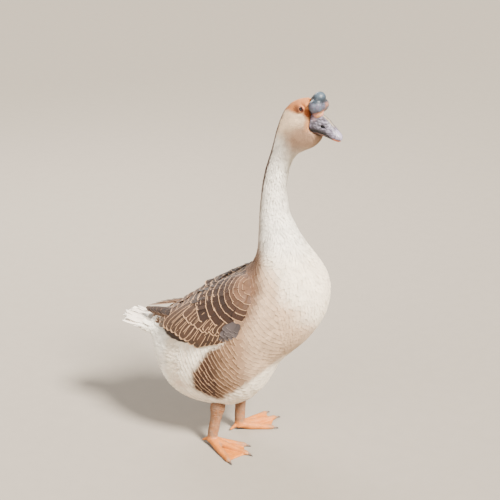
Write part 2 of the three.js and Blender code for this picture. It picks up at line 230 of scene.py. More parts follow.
WING_NEAR = (9.5, 5.5)
FLANK_FLOOR = ((-60, -33, 21, 87, 151, 219, 250), (160, 146, 123, 177, 232, 279, 300))
FLANK_REAR = ((110, 148, 192, 243, 275, 300, 330), (-20, -33, -31, 2, 42, 55, 60))
BEIGE_FRONT = ((250, 300, 320, 366, 400, 446, 480), (222, 220, 214, 197, 167, 130, 105))


def band(value, start, end):
    """0 at start and before it, 1 at end and past it, smooth between."""
    share = np.clip((value - start) / (end - start), 0, 1)
    return share * share * (3 - 2 * share)


def unit(vectors):
    """Vectors brought to length 1."""
    return vectors / np.maximum(np.linalg.norm(vectors, axis=-1, keepdims=True), 1e-9)


def measures(points):
    """Frame places as the bird's own millimetres."""
    return (np.asarray(points, float) - np.array(SPOT)) * 1000


def in_frame(own):
    """The bird's own millimetres as frame places."""
    return own * 0.001 + np.array(SPOT)


def turn_about(vectors, heights, sign, centre):
    """Vectors turned with the head (sign 1) or back (sign -1) by as much as their height asks."""
    angle = sign * HEAD_TURN * band(heights, *TURN_HEIGHTS)
    x = vectors[:, 0] - centre
    y = vectors[:, 1]
    return np.stack([
        centre + x * np.cos(angle) - y * np.sin(angle),
        x * np.sin(angle) + y * np.cos(angle),
        vectors[:, 2],
    ], axis=1)


def straight_head(points):
    """Frame places as the bird's own millimetres with the head turned straight ahead."""
    own = measures(points)
    return turn_about(own, own[:, 2], -1, TURN_AXIS)


def clouds(points, size, seed):
    """A soft noise about 0, with lumps of the given size in millimetres."""
    scaled = points / size + seed * 17.3
    return np.array([noise.noise(Vector(p)) for p in scaled])


wing_trees = []
for wing_name in ("wing_right", "wing_left"):
    wing_copy = bmesh.new()
    wing_copy.from_mesh(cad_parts[wing_name].data)
    wing_trees.append(BVHTree.FromBMesh(wing_copy))
    wing_copy.free()


def wing_gap(points):
    """How far each frame place lies from a folded wing, in millimetres."""
    return np.array([min(tree.find_nearest(Vector(p))[3] for tree in wing_trees) for p in points]) * 1000


def over_wing(points):
    """How surely each frame place lies on a folded wing."""
    return band(wing_gap(points), *WING_NEAR)


def plumage(points, normals, wings=True):
    """The coat's colour and its pale edge's colour at frame places."""
    own = measures(points)
    facing = turn_about(np.asarray(normals, float), own[:, 2], -1, 0)
    x, y, z = straight_head(points).T
    drift = clouds(own, DRIFT_SIZE, 1)
    fine = clouds(own, FINE_SIZE, 2)
    base = np.tile(CREAM, (len(own), 1))
    edge = np.tile(SNOW, (len(own), 1))

    def lay(share, colour, edge_colour=None):
        share = np.clip(share, 0, 1)[:, None]
        base[:] = base * (1 - share) + colour * share
        edge[:] = edge * (1 - share) + (colour if edge_colour is None else edge_colour) * share

    on_trunk = band(z, 520, 440)
    over_belly = band(z - np.interp(x, *FLANK_FLOOR), -3, 5)
    flank = over_belly * band(x - np.interp(z, *FLANK_REAR), -4, 4) * on_trunk
    ahead = x - np.interp(z, *BEIGE_FRONT) + 16 * drift
    lay(flank * band(ahead, 30, -30) * 0.9, BEIGE, PALE_BEIGE)
    lay(flank * band(x + 12 * drift, 128, 58) * 0.9, MID_BROWN, EDGE_BEIGE)
    # Painted shade: a darker brown in the crease where the breast meets the front of each folded wing.
    wing_shade = band(wing_gap(points) - 8 * fine, 38, 8) * band(x, 60, 84)
    lay(wing_shade * band(z, 308, 345) * band(z, 436, 392) * 0.8, WING_SHADE_BROWN, MID_BROWN)
    lay(flank * band(x + 12 * drift, 66, 6), FLANK_BROWN, FLANK_EDGE)
    neck = band(z, 440, 500) * band(z, 735, 690)
    lay(neck, SNOW)
    lay(neck * (0.1 + 0.6 * np.clip(fine + 0.05, 0, 1)), MOTTLED_GREY, CREAM)
    # Painted shade: the side of the neck that faces back, away from the key light, is greyed.
    behind = band(-facing[:, 0], 0.55, 0.9)
    lay(behind * band(z, 400, 440) * band(z, 690, 560) * 0.75, NAPE_SHADE_GREY, NAPE_SHADE_GREY * 1.15)
    upper = band(z + 0.55 * (100 - x), 372, 392) * on_trunk
    lay(upper * band(x, 128, 96), BACK_BROWN, BACK_EDGE)
    lay(upper * band(x, 66, 30) * 0.85, WING_BROWN, PALE_EDGE)
    rump = band(x, -40, -62) * band(facing[:, 2], 0.1, 0.5)
    lay(rump, RUMP_GREY, PALE_EDGE)
    lay(band(x + 56 * band(facing[:, 2], 0.35, 0.65), -96, -112), SNOW)
    vent = band(x, -30, -60) * band(np.abs(y), 20, 50) * band(facing[:, 2], 0.2, -0.1)
    lay(vent * np.clip(0.05 + drift, 0, 0.4), STAIN, PALE_BEIGE)
    if wings:
        lay(over_wing(points), WING_BROWN, PALE_EDGE)
    edge_drift = 2.2 * fine + 3.0 * drift
    head = band(z, 706, 736)
    lay(head, CHEEK)
    # The throat's tan is partly its own colour and partly painted shade under the head.
    throat_rear = np.interp(z, [690, 725, 745], [150, 158, 176])
    throat = band(x - throat_rear + 3 * edge_drift, -16, 26) * band(z + 1.5 * edge_drift, 757, 735)
    lay(throat * band(z, 640, 716), THROAT_TAN_AND_SHADE)
    nape_side = np.interp(z, [480, 600, 720], [0.78, 0.6, 0.4])
    lay(band(-facing[:, 0] - nape_side, 0, 0.2) * band(z, 470, 650), NAPE_BROWN)
    cap = band(z + edge_drift, 766, 776)
    lay(cap, CAP_TAN)
    lay(cap * band(x, 172, 152), CAP_GOLD)
    lay(cap * band(z, 790, 778) * band(x, 164, 176) * 0.55, CAP_GOLD)
    by_bill = band(x + edge_drift, 199, 210) * band(z, 782, 770)
    lay(by_bill * band(z, 732, 748) * 0.85, CAP_GOLD)
    lay(band(x, 199, 208) * band(z, 786, 778) * band(z, 764, 770), RUST)
    lores = band(np.hypot((x - 184) / 1.3, z - 779), 9, 4)
    lay(lores * 0.7, LORE_PURPLE)
    return base, edge


def merged_copy(names, puff):
    """A mesh of the named solids with their loose corners merged, grown a little to close seams."""
    bm = bmesh.new()
    for name in names:
        bm.from_mesh(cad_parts[name].data)
    bmesh.ops.remove_doubles(bm, verts=bm.verts, dist=MERGE_GAP)
    bm.normal_update()
    for vert in bm.verts:
        vert.co += vert.normal * puff
    return bm


def relax(bm, verts, times):
    """Smooths the given corners of a mesh."""
    for _ in range(times):
        bmesh.ops.smooth_vert(bm, verts=verts, factor=0.5, use_axis_x=True, use_axis_y=True, use_axis_z=True)


def remeshed(bm, voxel, smoothing):
    """One closed surface round the given solids, on an even grid, relaxed."""
    rough = bpy.data.meshes.new("rough")
    bm.to_mesh(rough)
    bm.free()
    holder = bpy.data.objects.new("rough", rough)
    bpy.context.scene.collection.objects.link(holder)
    grid = holder.modifiers.new("grid", "REMESH")
    grid.mode = "VOXEL"
    grid.voxel_size = voxel
    ready = holder.evaluated_get(bpy.context.evaluated_depsgraph_get())
    fresh = bmesh.new()
    fresh.from_mesh(ready.to_mesh())
    bpy.data.objects.remove(holder)
    relax(fresh, fresh.verts, smoothing)
    for face in fresh.faces:
        face.smooth = True
    fresh.normal_update()
    return fresh


def largest_part(bm):
    """Leaves only the largest connected part of a mesh."""
    left = set(bm.verts)
    parts = []
    while left:
        part = {left.pop()}
        front = list(part)
        while front:
            vert = front.pop()
            others = {edge.other_vert(vert) for edge in vert.link_edges} - part
            part |= others
            front.extend(others)
        left -= part
        parts.append(part)
    keep = max(parts, key=len)
    bmesh.ops.delete(bm, geom=[v for v in bm.verts if v not in keep], context="VERTS")


skin_mesh = remeshed(merged_copy(FLESH, SEAM_PUFF), SKIN_VOXEL, SKIN_RELAXED)
largest_part(skin_mesh)
skin_mesh.normal_update()
outside = BVHTree.FromBMesh(skin_mesh)
skin_heights = measures([v.co for v in skin_mesh.verts])[:, 2]
depths = COAT_DEPTH["trunk"] + (COAT_DEPTH["neck"] - COAT_DEPTH["trunk"]) * band(skin_heights, *NECK_FOOT)
depths += (COAT_DEPTH["head"] - COAT_DEPTH["neck"]) * band(skin_heights, *NECK_TOP)
for vert, depth in zip(skin_mesh.verts, depths):
    start = vert.co - vert.normal * 1e-4
    wall = outside.ray_cast(start, -vert.normal, THICKEST_WALL)[3] or THICKEST_WALL
    vert.co -= vert.normal * min(depth, THIN_WALL_SHARE * wall)

# The face takes finer mesh, and the skin is drawn over each eyeball as two lids with a soft rim.
EYE_RADIUS = 0.0070
EYE_SINK = 0.0018
EYE_AHEAD = 0.16
SOCKET_DEPTH = 0.009
LID_OPEN = (0.0061, 0.0041)
LID_RIM = 0.0016
LID_RISE = 0.0006
LID_REACH = 0.0075
LID_TILT = math.radians(36)
LID_EDGE = (0.0018, 0.0009)
SOCKET_HOLLOW = 0.62
LID_TAN = tone("b5815f")
FINE_REACHES = (0.019, 0.015)
RELAXED_REACH = 0.021
FACE_RELAXED = 12
LID_MARKED = 0.012
eyes = {}
for side in ("right", "left"):
    low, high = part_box("eye_" + side)
    centre = (low + high) / 2
    out = outside.find_nearest(centre + Vector((0, -0.02 if side == "right" else 0.02, 0)))[1]
    forward = Vector((math.cos(HEAD_TURN), math.sin(HEAD_TURN), 0))
    out = (out - forward * (out.dot(forward) - EYE_AHEAD)).normalized()
    ahead = (forward - out * forward.dot(out)).normalized()
    rise = out.cross(ahead)
    if rise.z < 0:
        rise.negate()
    eyes[side] = {"centre": centre - out * EYE_SINK, "out": out, "ahead": ahead, "rise": rise}


def past_lids(eye, arm):
    """How far, seen from outside, a place lies from an eye's middle and past the edge of its lids."""
    across = arm.dot(eye["ahead"])
    up = arm.dot(eye["rise"])
    flat_across = across * math.cos(LID_TILT) - up * math.sin(LID_TILT)
    flat_up = across * math.sin(LID_TILT) + up * math.cos(LID_TILT)
    flat = max(math.hypot(across, up), 1e-6)
    gauge = max(math.hypot(flat_across / LID_OPEN[0], flat_up / LID_OPEN[1]), 1e-6)
    return flat, flat - flat / gauge


def near_eyes(place, reach):
    """True within reach of an eye's middle."""
    return any((place - eye["centre"]).length < reach for eye in eyes.values())


for reach in FINE_REACHES:
    near = [edge for edge in skin_mesh.edges if near_eyes(edge.verts[0].co, reach)]
    bmesh.ops.subdivide_edges(skin_mesh, edges=near, cuts=1, use_grid_fill=True)
round_eyes = [vert for vert in skin_mesh.verts if near_eyes(vert.co, RELAXED_REACH)]
relax(skin_mesh, round_eyes, FACE_RELAXED)
for eye in eyes.values():
    for vert in round_eyes:
        arm = vert.co - eye["centre"]
        height = arm.dot(eye["out"])
        flat, past = past_lids(eye, arm)
        if height < -SOCKET_DEPTH or past > LID_REACH:
            continue
        ball = math.sqrt(EYE_RADIUS ** 2 - min(flat, EYE_RADIUS * 0.98) ** 2)
        if past < 0:
            target = ball * SOCKET_HOLLOW
            pull = 1.0
        else:
            target = ball + LID_RISE + LID_RISE * math.sin(math.pi * min(past / LID_RIM, 1.0))
            pull = 1 - float(band(past, LID_RIM * 1.2, LID_REACH))
        vert.co += eye["out"] * (target - height) * pull
skin_mesh.normal_update()

skin_finish, skin_tree, skin_shader = made_material("feathered_skin", 0.8)
skin_marking = shaded(skin_tree, stored(skin_tree, "marking"), mottle(skin_tree, 260, 0.9, 1.08))
skin_tree.links.new(skin_marking, skin_shader.inputs["Base Color"])
relief(skin_tree, skin_shader, mottle(skin_tree, 900, 0, 1), 0.3, 0.0006)

surface = BVHTree.FromBMesh(skin_mesh)
skin = mesh_object("skin", skin_mesh, skin_finish)


def colour_points(mesh, name, colours):
    """Stores one colour for each corner point of a mesh."""
    store = mesh.attributes.new(name, "FLOAT_COLOR", "POINT")
    filled = np.ones((len(colours), 4), np.float32)
    filled[:, :3] = colours
    store.data.foreach_set("color", filled.ravel())


def corner_points(mesh):
    """A mesh's places and normals as arrays."""
    places = np.zeros(len(mesh.vertices) * 3)
    facing = np.zeros(len(mesh.vertices) * 3)
    mesh.vertices.foreach_get("co", places)
    mesh.vertices.foreach_get("normal", facing)
    return places.reshape(-1, 3), facing.reshape(-1, 3)


skin_places, skin_facing = corner_points(skin.data)
skin_colour = plumage(skin_places, skin_facing)[0]
lid_share = np.zeros((len(skin_places), 1))
for k, place in enumerate(skin_places):
    for eye in eyes.values():
        arm = Vector(place) - eye["centre"]
        if arm.length < LID_MARKED:
            lid_share[k] = float(band(past_lids(eye, arm)[1], *LID_EDGE))
colour_points(skin.data, "marking", skin_colour * (1 - lid_share) + LID_TAN * lid_share)

bpy.context.view_layer.objects.active = skin
skin.select_set(True)
bpy.ops.object.mode_set(mode="EDIT")
bpy.ops.mesh.select_all(action="SELECT")
bpy.ops.uv.smart_project(angle_limit=math.radians(72), island_margin=0.004)
bpy.ops.object.mode_set(mode="OBJECT")
skin.data.uv_layers[0].name = "OFBake"
skin.select_set(False)
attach(skin, "root")
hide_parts(*FLESH)

# ---- Small feathers
# Contour feathers are thin vanes that lie on the skin from the bill towards the tail, each over the
# roots of the next, like roof tiles. Every vane is a closed sliver with a flat underside and a low
# ridge on its shaft, and is smallest on the face.
PATCH = 0.003
ROW_STEP = 11.0
ROW_WOBBLE = 0.16
WOBBLE_SIZE = 45
LONGEST_SHIFT = 8
ROOT_GAP = 0.86
BY_TIP = 0.85
BY_TIP_RIM = 0.72
TRIES = 7
SMALL_THICK = 0.0004
LOOSE_SPREAD = 0.08
ROW_SPREAD = 0.035
WIDTH_SPREAD = 0.06
SOFTEST_ANGLE = math.radians(58)
BARB_SLANT = -1.3
BARB_PACE = 78.0
BARB_RELIEF = 0.0003
EDGE_SOFTNESS = 0.14
BILL_FRONT = (216, 0, 764)
DOWN_NECK = (-0.12, 0, -1.0)
TO_TAIL = (-1.0, 0, 0.12)
EYE_CLEAR = 0.0086
BACK_DROP = 17
BACK_ENDS = (-142, 82)
TRUNK_TOP = 458
NECK_RUN = (440, 520, 705)
TRUNK_RUN = (0, 100, 240)
FINE_SHARES = (0.0, 0.4, 0.75, 1.0)
X_AXIS = 0
Z_AXIS = 2
rng = np.random.default_rng(7)
# share of the length, half-width and height of the ridge
SMALL_VANE = [(0.0, 0.42, 0.4), (0.35, 0.88, 1.0), (0.72, 1.0, 0.8), (0.93, 0.94, 0.5), (1.0, 0.68, 0.2)]
TINY_VANE = [(0.0, 0.5, 0.5), (0.5, 1.0, 1.0), (1.0, 0.2, 0.2)]
FINE_VANE = [(0.0, 0.42, 0.4), (0.4, 0.95, 1.0), (0.75, 0.9, 0.8), (1.0, 0.2, 0.2)]

skin.data.calc_loop_triangles()
TRIANGLES = np.zeros(len(skin.data.loop_triangles) * 3, np.int64)
skin.data.loop_triangles.foreach_get("vertices", TRIANGLES)
TRIANGLES = TRIANGLES.reshape(-1, 3)
SKIN_UV = np.zeros(len(skin.data.loops) * 2)
skin.data.uv_layers["OFBake"].data.foreach_get("uv", SKIN_UV)
SKIN_UV = SKIN_UV.reshape(-1, 2)
FACE_UV = np.array([SKIN_UV[list(face.loop_indices)].mean(axis=0) for face in skin.data.polygons])


def ordered_faces(bm):
    """Each face's corner numbers, in the same order each run."""
    bm.verts.index_update()
    faces = [[vert.index for vert in face.verts] for face in bm.faces]
    return sorted(face[face.index(min(face)):] + face[:face.index(min(face))] for face in faces)


def small_vane(stations):
    """A sliver along x with half-width and ridge height given at each station."""
    bm = bmesh.new()
    start, half, ridge = stations[0]
    corners = ((start, -half, 0), (start, half, 0), (start, 0, ridge))
    section = [bm.verts.new(corner) for corner in corners]
    face = bm.faces.new(section)
    before = (half, ridge)
    for share, half, ridge in stations[1:]:
        grown = bmesh.ops.extrude_face_region(bm, geom=[face])["geom"]
        moved = [g for g in grown if isinstance(g, bmesh.types.BMVert)]
        face = next(g for g in grown if isinstance(g, bmesh.types.BMFace))
        for vert in moved:
            vert.co = (share, vert.co.y * half / before[0], vert.co.z * ridge / before[1])
        before = (half, ridge)
    inner = [
        f for f in bm.faces
        if len(f.verts) == 3 and f is not face and 0 < f.calc_center_median().x < 1
    ]
    bmesh.ops.delete(bm, geom=inner, context="FACES_ONLY")
    bmesh.ops.recalc_face_normals(bm, faces=bm.faces)
    tip = max(v.co.x for v in bm.verts)
    places = np.array([v.co for v in bm.verts])
    faces = ordered_faces(bm)
    rim = np.array([1.0 if v.co.x == tip else BY_TIP_RIM if v.co.x > BY_TIP else 0.0 for v in bm.verts])
    bm.free()
    return places, faces, rim


def at_places(value, own):
    """A number, or a function of place, as one number for each place."""
    found = value(own) if callable(value) else value
    return np.broadcast_to(np.asarray(found, float), (len(own),))


def along(axis, places, values):
    """A function of place that runs through the values at the given places on one axis."""
    return lambda own: np.interp(own[:, axis], places, values)


def scatter(spacing, wanted, rows=None):
    """Even random places on the skin, kept where wanted, spaced by a function of place.

    Rows, where given, is a function of place and the step between rows: the places then move
    along the lie of the coat to the nearest row.
    """
    corners = skin_places[TRIANGLES]
    middle = measures(corners.mean(axis=1))
    chosen = np.nonzero(wanted(middle))[0]
    corners = corners[chosen]
    sides = np.cross(corners[:, 1] - corners[:, 0], corners[:, 2] - corners[:, 0])
    step = at_places(spacing, middle[chosen]) * 0.001
    weight = np.linalg.norm(sides, axis=1) / 2 / step ** 2
    count = int(weight.sum() * TRIES)
    picks = rng.choice(len(chosen), count, p=weight / weight.sum())
    first = rng.random(count) ** 0.5
    second = rng.random(count)
    blend = np.stack([1 - first, first * (1 - second), first * second], axis=1)
    places = np.einsum("nk,nkc->nc", blend, corners[picks])
    step = step[picks]
    if rows is not None:
        ways = lie(places, unit(sides[picks]))
        here = rows(measures(places))
        ahead = rows(measures(places + ways * 0.001))
        wobble = ROW_WOBBLE * clouds(measures(places), WOBBLE_SIZE, 5)
        shift = (np.round(here + wobble) - wobble - here) / np.maximum(ahead - here, 0.04)
        places = places + ways * (np.clip(shift, -LONGEST_SHIFT, LONGEST_SHIFT) * 0.001)[:, None]
    taken = {}
    kept = []
    cell = float(step.max())
    for k, place in enumerate(places.tolist()):
        key = [int(part // cell) for part in place]
        near = (
            other for turn in itertools.product((-1, 0, 1), repeat=3)
            for other in taken.get((key[0] + turn[0], key[1] + turn[1], key[2] + turn[2]), ())
        )
        if all(math.dist(other, place) >= step[k] * ROOT_GAP for other in near):
            taken.setdefault(tuple(key), []).append(place)
            kept.append(k)
    return places[kept]


BREAST_MIDDLE = (160, 330)
ROW_EASE = 22


def eased(value):
    """The value where it is well above 0, easing to 0 below."""
    return ROW_EASE * np.logaddexp(0, value / ROW_EASE)


def rows_down(x, z):
    """How far down the trunk's rows of feathers a place is, in millimetres."""
    out = np.hypot(eased(BREAST_MIDDLE[0] - x), eased(BREAST_MIDDLE[1] - z))
    return out - 0.8 * eased(z - BREAST_MIDDLE[1]) - 0.25 * x


def trunk_grain(own):
    """On the trunk, how far down the coat's rows a place is, and the way they grow there.

    The rows start at the foot of the neck and spread in nested curves from the middle of the breast.
    """
    x, z = own[:, 0], own[:, 2]
    aft = rows_down(x + 1, z) - rows_down(x - 1, z)
    rise = rows_down(x, z + 1) - rows_down(x, z - 1)
    return rows_down(x, z), unit(np.stack([aft, np.zeros(len(own)), rise], axis=1))


def along_skin(ways, facing):
    """Ways laid flat on the skin."""
    return unit(ways - facing * np.sum(ways * facing, axis=1)[:, None])


def lie(places, facing):
    """The way the coat lies at frame places: back from the bill, down the neck, out over the trunk."""
    heights = measures(places)[:, 2]
    straight = straight_head(places)
    x, z = straight[:, 0:1], straight[:, 2:3]
    on_trunk = band(z, 520, 450)
    aft = band(x, -60, -120)
    way = turn_about(unit(straight - BILL_FRONT), heights, 1, 0) * band(z, 690, 735)
    way = way + np.array(DOWN_NECK) * band(z, 450, 520) * band(z, 735, 690)
    way = way + trunk_grain(straight)[1] * on_trunk * (1 - aft) + np.array(TO_TAIL) * on_trunk * aft
    return along_skin(way, facing)


def walk(roots, facing, ways, lengths, shares, stiff):
    """Each shaft's way over the skin: its places and normals at the given shares of its length."""
    spines = np.zeros((len(roots), len(shares), 3))
    rises = np.zeros((len(roots), len(shares), 3))
    for k in range(len(roots)):
        place = Vector(roots[k])
        rise = Vector(facing[k])
        way = Vector(ways[k])
        first = rise.copy()
        done = 0.0
        for m, share in enumerate(shares):
            place = place + way * (share - done) * lengths[k]
            done = share
            on_skin, rise_there, _, _ = surface.find_nearest(place)
            if rise_there.dot(first) > stiff:
                place = on_skin
                rise = rise_there
                way = (way - rise * way.dot(rise)).normalized()
            spines[k, m] = place
            rises[k, m] = rise
    return spines, rises


def vanes(name, shape, roots, facing, ways, length, width, thick, lift, colours, edges, material, **more):
    """One joined mesh of feathers, arrayed from one vane.

    The lift is each feather's height over the skin at its root and its tip. More may hold the
    stations along the shafts, how stiff they are, a sideways sweep, a crown across, a random tilt,
    how deep the painted shade towards each root is, and how far the colours blend into the next feather's.
    """
    places, faces, rim = shape
    shares = more.get("shares", (0.0, 0.35, 0.7, 1.0))
    count, per = len(roots), len(places)
    u, v, w = places.T[:, None, :]
    spines, rises = walk(roots, facing, ways, length, shares, more.get("stiff", 0.3))
    share_of = np.stack([np.interp(places[:, 0], shares, peak) for peak in np.eye(len(shares))], axis=1)
    lines = (spines, rises, unit(np.gradient(spines, axis=1)))
    at, up, run = (np.einsum("mk,nkc->nmc", share_of, line) for line in lines)
    side = unit(np.cross(unit(up), run))
    up = np.cross(run, side)
    tilt = rng.normal(0, more.get("tilt", 0.05), (count, 1))
    lift = np.broadcast_to(np.asarray(lift, float), (count, 2))
    rise = lift[:, :1] + (lift[:, 1:] - lift[:, :1]) * u + thick * w
    rise = rise + width[:, None] * 0.5 * (tilt * v - more.get("crown", 0.12) * v * v)
    aside = width[:, None] * 0.5 * v + more.get("sweep", 0.0) * length[:, None] * u * u
    points = at + up * rise[:, :, None] + side * aside[:, :, None]

    mesh = bpy.data.meshes.new(name)
    loops = (np.concatenate(faces)[None, :] + np.arange(count)[:, None] * per).ravel()
    totals = np.tile([len(face) for face in faces], count)
    mesh.vertices.add(count * per)
    mesh.vertices.foreach_set("co", points.ravel())
    mesh.loops.add(len(loops))
    mesh.loops.foreach_set("vertex_index", loops)
    mesh.polygons.add(len(totals))
    mesh.polygons.foreach_set("loop_start", np.cumsum(totals) - totals)
    mesh.polygons.foreach_set("loop_total", totals)
    mesh.polygons.foreach_set("use_smooth", np.ones(len(totals), bool))
    mesh.update(calc_edges=True)
    mesh.set_sharp_from_angle(angle=SOFTEST_ANGLE)
    shade = 1 + rng.normal(0, more.get("vary", 0.05), (count, 1, 1))
    # Painted shade: each vane darkens towards its root, where the feather over it would shade it.
    deep = 1 - more.get("deep", 0.3) * (1 - u[:, :, None]) ** 1.5
    tints = [colours[:, None, :], edges[:, None, :]]
    blend = more.get("blend", 0.0)
    if blend:
        there = plumage(points.reshape(-1, 3), np.repeat(facing, per, axis=0), wings=False)
        tints = [a * (1 - blend) + b.reshape(count, per, 3) * blend for a, b in zip(tints, there)]
    tints = {"marking": tints[0] * shade * deep, "edge_marking": tints[1] * (0.5 + 0.5 * shade)}
    for kind, tint in tints.items():
        colour_points(mesh, kind, np.broadcast_to(np.clip(tint, 0, 1), (count, per, 3)).reshape(-1, 3))
    rims = mesh.attributes.new("rim", "FLOAT", "POINT")
    rims.data.foreach_set("value", np.tile(rim, count).astype(np.float32))
    root_uv = np.array([FACE_UV[surface.find_nearest(Vector(root))[2]] for root in roots])
    patch = more.get("patch", PATCH)
    on_shaft = np.stack([u * length[:, None] * 100, v * width[:, None] * 50], axis=2)
    on_skin = np.stack([root_uv[:, :1] + patch * (u - 0.5), root_uv[:, 1:] + patch * 0.5 * v], axis=2)
    for kind, spread in (("shaft", on_shaft), ("OFBake", np.clip(on_skin, 0, 1))):
        uv_map = mesh.uv_layers.new(name=kind)
        uv_map.data.foreach_set("uv", spread.reshape(-1, 2)[loops].ravel())
    mesh.materials.append(material)
    piece = bpy.data.objects.new(name, mesh)
    bpy.context.scene.collection.objects.link(piece)
    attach(piece, "root")
    return piece


def plume_finish(name, roughness, edge_from, barb_depth):
    """Vane finish: the marking, a pale edge along the rim, fine slanting barbs and a soft sheen."""
    material, tree, shader = made_material(name, roughness)
    edge_to = min(edge_from + EDGE_SOFTNESS, 1.0)
    reach = {"From Min": edge_from, "From Max": edge_to, "Value": stored(tree, "rim", "Fac")}
    both = {
        "Factor": node(tree, "MapRange", reach).outputs["Result"],
        "A": stored(tree, "marking"),
        "B": stored(tree, "edge_marking"),
    }
    edged = node(tree, "Mix", both, data_type="RGBA").outputs["Result"]
    shaft = node(tree, "SeparateXYZ", {"Vector": node(tree, "UVMap", uv_map="shaft").outputs["UV"]}).outputs
    pace = node(tree, "Math", {0: shaft["Y"]}, operation="ABSOLUTE")
    pace = node(tree, "Math", {0: pace.outputs[0], 1: BARB_SLANT, 2: shaft["X"]}, operation="MULTIPLY_ADD")
    pace = node(tree, "Math", {0: pace.outputs[0], 1: BARB_PACE}, operation="MULTIPLY")
    barbs = node(tree, "Math", {0: pace.outputs[0]}, operation="SINE").outputs[0]
    stripes = node(tree, "MapRange", {"From Min": -1.0, "To Min": 1 - barb_depth, "Value": barbs})
    striped = shaded(tree, edged, stripes.outputs["Result"])
    tree.links.new(shaded(tree, striped, mottle(tree, 55, 0.9, 1.1)), shader.inputs["Base Color"])
    relief(tree, shader, barbs, 0.35, BARB_RELIEF)
    shader.inputs["Specular IOR Level"].default_value = 0.25
    shader.inputs["Sheen Weight"].default_value = 0.06
    shader.inputs["Sheen Roughness"].default_value = 0.5
    return material


small_plume = plume_finish("plume_small", 0.72, 0.76, 0.12)
tiny = small_vane(TINY_VANE)
small = small_vane(SMALL_VANE)
fine_vane = small_vane(FINE_VANE)


def random_lengths(middle, spread):
    """Lengths about middle values, in metres from millimetres."""
    return np.maximum(rng.normal(1, spread, len(middle)), 0.6) * middle * 0.001


def tract(name, slot, shape, spacing, wanted, sizes, lift, rows=None, **more):
    """Scatters feathers of a length and a width over a part of the skin and builds them as one piece."""
    found = [surface.find_nearest(Vector(place)) for place in scatter(spacing, wanted, rows)]
    roots, facing = np.array([f[0] for f in found]), np.array([f[1] for f in found])
    own = measures(roots)
    ways = lie(roots, facing)
    bend = rng.normal(0, more.pop("stray", 0.06), len(roots))[:, None]
    ways = unit(ways + np.cross(facing, ways) * bend)
    length = random_lengths(at_places(sizes[0], own), LOOSE_SPREAD if rows is None else ROW_SPREAD)
    width = random_lengths(at_places(sizes[1], own), WIDTH_SPREAD)
    colours, edges = plumage(roots + ways * length[:, None] * 0.6, facing, wings=False)
    piece = vanes(
        name, shape, roots, facing, ways, length, width, SMALL_THICK, lift(own) if callable(lift) else lift,
        colours, edges, more.pop("material", small_plume), **more
    )


def clear_of_eyes(own):
    """True where a small feather wouldn't reach over an eye."""
    places = in_frame(own)
    gaps = [np.linalg.norm(places - eye["centre"], axis=1) for eye in eyes.values()]
    return np.min(gaps, axis=0) > EYE_CLEAR


def neck_lift(own):
    """The neck's feathers lie closer towards the face."""
    return np.stack([np.zeros(len(own)), np.interp(own[:, 2], [640, 712], [0.0034, 0.001])], axis=1)


def trunk_row(own):
    """The number of the row of feathers, counted from the foot of the neck."""
    return trunk_grain(own)[0] / ROW_STEP


BACK_RUN = np.arange(-170, 100, 10)
BACK_TOP = [measures([surface.ray_cast(spot(x, 0, 700), Vector((0, 0, -1)))[0]])[0][2] for x in BACK_RUN]


def on_back(own):
    """True on the strip of the back that shows between the folded wings."""
    high = own[:, 2] > np.interp(own[:, 0], BACK_RUN, BACK_TOP) - BACK_DROP
    return high & (own[:, 0] < BACK_ENDS[1]) & (own[:, 0] > BACK_ENDS[0])


def trunk_part(rear, front):
    """Picks the trunk's skin between two x, off the folded wings and the back's strip."""
    def picked(own):
        here = (own[:, 2] <= TRUNK_TOP) & (own[:, 0] > rear) & (own[:, 0] <= front)
        return here & (over_wing(in_frame(own)) < 0.5) & ~on_back(own)

    return picked


TRUNK_SIZES = (along(X_AXIS, TRUNK_RUN, [32, 25, 17]), along(X_AXIS, TRUNK_RUN, [22, 16, 9]))
tract(
    "coat_head", "plumage_flank", tiny, 2.5, lambda own: (own[:, 2] > 705) & clear_of_eyes(own),
    (along(Z_AXIS, [705, 740], [8.0, 6.0]), 3.0), (0.0, 0.0011),
    shares=(0.0, 0.5, 1.0), deep=0.12, vary=0.04,
)
tract(
    "coat_neck", "plumage_pale", fine_vane, along(Z_AXIS, NECK_RUN, [5.6, 4.0, 3.2]),
    lambda own: (own[:, 2] > 455) & (own[:, 2] <= 712),
    (along(Z_AXIS, NECK_RUN, [20, 16, 10]), along(Z_AXIS, NECK_RUN, [7.5, 5.2, 3.8])), neck_lift,
    shares=FINE_SHARES, deep=0.14, vary=0.05, tilt=0.12, blend=0.7,
)
tract(
    "coat_breast", "plumage_flank", fine_vane, 5.6, trunk_part(172, 400), TRUNK_SIZES, (0.0, 0.0030),
    shares=FINE_SHARES, deep=0.16, stray=0.05, vary=0.03,
)
tract(
    "coat_sides", "plumage_flank", small, 7.0, trunk_part(92, 172), TRUNK_SIZES, (0.0006, 0.0026),
    rows=trunk_row, deep=0.22, stray=0.03, blend=0.7,
)
tract(
    "coat_flank", "plumage_flank", small, 8.4, trunk_part(-36, 92), TRUNK_SIZES, (0.0010, 0.0046),
    rows=trunk_row, deep=0.3, stray=0.03, blend=0.7,
)
tract(
    "coat_vent", "plumage_pale", fine_vane, 7.0, trunk_part(-400, -36),
    (along(X_AXIS, [-215, -180, -60], [14, 28, 30]), 10.5), (0.0, 0.0044),
    shares=FINE_SHARES, deep=0.14, stray=0.12, tilt=0.12, blend=0.7,
)

